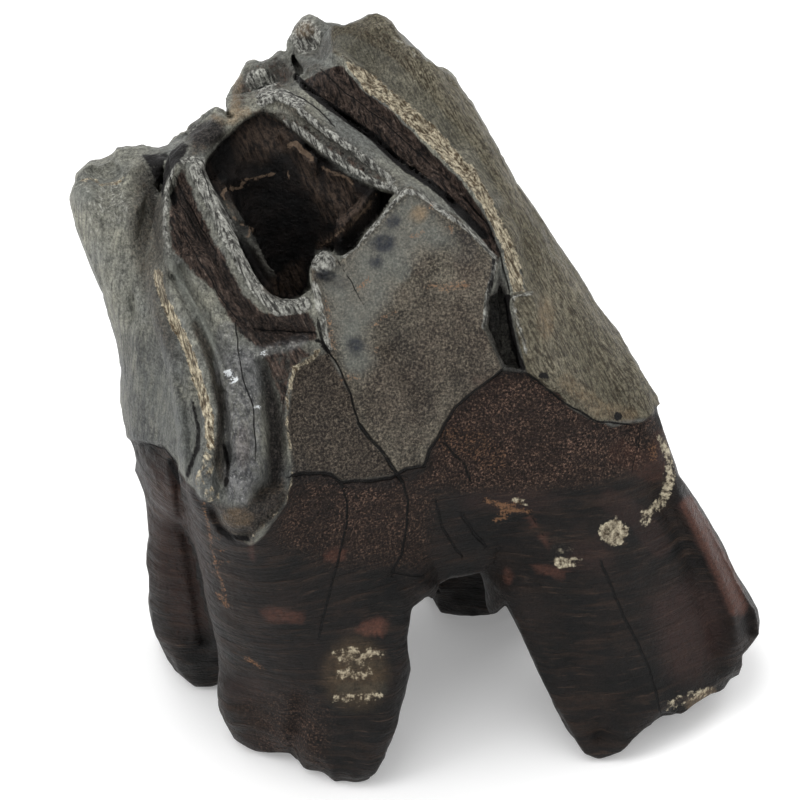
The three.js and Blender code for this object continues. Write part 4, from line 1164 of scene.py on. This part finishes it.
# Painted shade in the crevices.
colour = blend(ragged("crevice_shade", fine, 1.0), colour, srgb(14, 12, 12))
grit = calc("MULTIPLY_ADD", dust, 0.6, calc("MULTIPLY", fine, 0.4))
tone = span(grit, 0.4, 0.62, 0.5, 1.45)
calm = calc("MAXIMUM", span(is_crown, 0.0, 1.0, 0.4, 0.0), calc("MULTIPLY", mask("blue"), 0.5))
calm = calc("MAXIMUM", calm, calc("MULTIPLY", mask("steel"), 0.3))
tone = blend(calm, tone, (1.0, 1.0, 1.0, 1.0))
colour = put("ShaderNodeVectorMath", {0: colour, 1: tone}, operation="MULTIPLY").outputs[0]
# Painted shade inside the pit.
colour = blend(mask("pit"), colour, blend(span(lumps, 0.45, 0.7), srgb(10, 9, 9), srgb(30, 25, 23)))
# Dentine of the pit's walls, darkened with painted shade.
shaded_pit_dentine = blend(span(fold_grain, 0.4, 0.62), srgb(20, 16, 14), srgb(84, 70, 60))
colour = blend(soft("pit_wall_and_shade", fine, 0.95), colour, shaded_pit_dentine)
colour = blend(calc("MULTIPLY", ragged("sheet_edge", fine, 2.0), 0.75), colour, srgb(116, 98, 82))
crack = calc("MULTIPLY", span(calc("ABSOLUTE", mask("crack_side")), 0.62, 0.3),
    span(mask("crack_near"), 2.2, 1.2))
colour = blend(calc("MULTIPLY", crack, span(fine, 0.3, 0.5, 0.55, 1.0)), colour, srgb(8, 7, 7))
# Painted highlights.
colour = blend(ragged("painted_highlight", dust, 3.0), colour, srgb(232, 236, 238))

height = calc("MULTIPLY", lumps, 0.4)
height = calc("MULTIPLY_ADD", fine, 0.45, height)
height = calc("MULTIPLY_ADD", dust, calc("MULTIPLY_ADD", mask("grain"), 0.9, 0.2), height)
height = calc("MULTIPLY_ADD", dust, calc("MULTIPLY", mask("coarse"), 0.4), height)
height = calc("MULTIPLY_ADD", layers, span(is_crown, 0.0, 1.0, 0.9, 0.0), height)
height = calc("MULTIPLY_ADD", scratches, span(is_crown, 0.0, 1.0, 0.35, 0.0), height)
height = calc("MULTIPLY_ADD", striae, calc("MULTIPLY", mask("wall"), 0.6), height)
height = calc("MULTIPLY_ADD", fold_grain, calc("MULTIPLY", calc("MAXIMUM", mask("brown"),
    mask("pale_and_highlight")), 1.1), height)
height = calc("MULTIPLY_ADD", upright, span(is_crown, 0.0, 1.0, 0.0, 0.35), height)
height = calc("MULTIPLY_ADD", crack, -0.9, height)
bump = put("ShaderNodeBump", {"Strength": 0.95, "Distance": 0.0011, "Height": height}).outputs[0]
gloss = span(fine, 0.3, 0.7, 0.36, 0.6)
gloss = calc("MULTIPLY_ADD", mask("grain"), 0.2, gloss)
gloss = calc("MULTIPLY_ADD", mask("steel"), -0.12, gloss)
shader = put("ShaderNodeBsdfPrincipled", {"Base Color": colour, "Roughness": gloss, "Normal": bump})
shader.inputs["Specular IOR Level"].default_value = 0.18
out = put("ShaderNodeOutputMaterial")
tree.links.new(shader.outputs[0], out.inputs["Surface"])
reduced.materials.clear()
reduced.materials.append(skin)

# Floor, light and camera.
scene = bpy.context.scene


def plain(name, tint, rough, glow):
    """A material of one colour. A faint glow fills the shadow, as a white table does."""
    material = bpy.data.materials.new(name)
    material.use_nodes = True
    inputs = material.node_tree.nodes["Principled BSDF"].inputs
    inputs["Base Color"].default_value = tint
    inputs["Roughness"].default_value = rough
    inputs["Emission Strength"].default_value = glow
    return material


bpy.ops.mesh.primitive_plane_add(size=6.0, location=(0, 0, 0))
floor = bpy.context.object
floor.name = "floor"
floor.data.materials.append(plain("floor", (0.88, 0.88, 0.88, 1.0), 0.7, 0.2))

world = bpy.data.worlds.new("studio")
world.use_nodes = True
world.node_tree.nodes["Background"].inputs["Color"].default_value = (1.0, 1.0, 1.0, 1.0)
world.node_tree.nodes["Background"].inputs["Strength"].default_value = 0.82
scene.world = world


def lamp(name, place, target, size, power):
    """A soft box that looks at a target."""
    light = bpy.data.lights.new(name, "AREA")
    light.shape = "RECTANGLE"
    light.size, light.size_y = size
    light.energy = power
    holder = bpy.data.objects.new(name, light)
    scene.collection.objects.link(holder)
    holder.location = place
    aim = Vector(target) - Vector(place)
    holder.rotation_euler = aim.to_track_quat("-Z", "Y").to_euler()
    return holder


lamp("overhead", (-0.2, 0.05, 0.8), (0, 0, 0.04), (0.8, 0.6), 3.2)
lamp("left", (-0.65, -0.25, 0.45), (0, 0, 0.05), (0.35, 0.5), 1.6)
lamp("back_right", (0.5, 0.5, 0.55), (0, 0, 0.05), (0.3, 0.4), 1.8)

lens = bpy.data.cameras.new("camera")
lens.sensor_width = 36.0
lens.lens = 36.0 * FOCAL_PX / FRAME_PX
lens.clip_start = 0.01
lens.clip_end = 20.0
camera = bpy.data.objects.new("camera", lens)
scene.collection.objects.link(camera)
camera.location = EYE / 1000
camera.rotation_euler = (math.pi / 2 - ELEVATION, 0.0, 0.0)
scene.camera = camera
scene.view_settings.view_transform = "Standard"

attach(tooth, "root")
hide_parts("tooth")
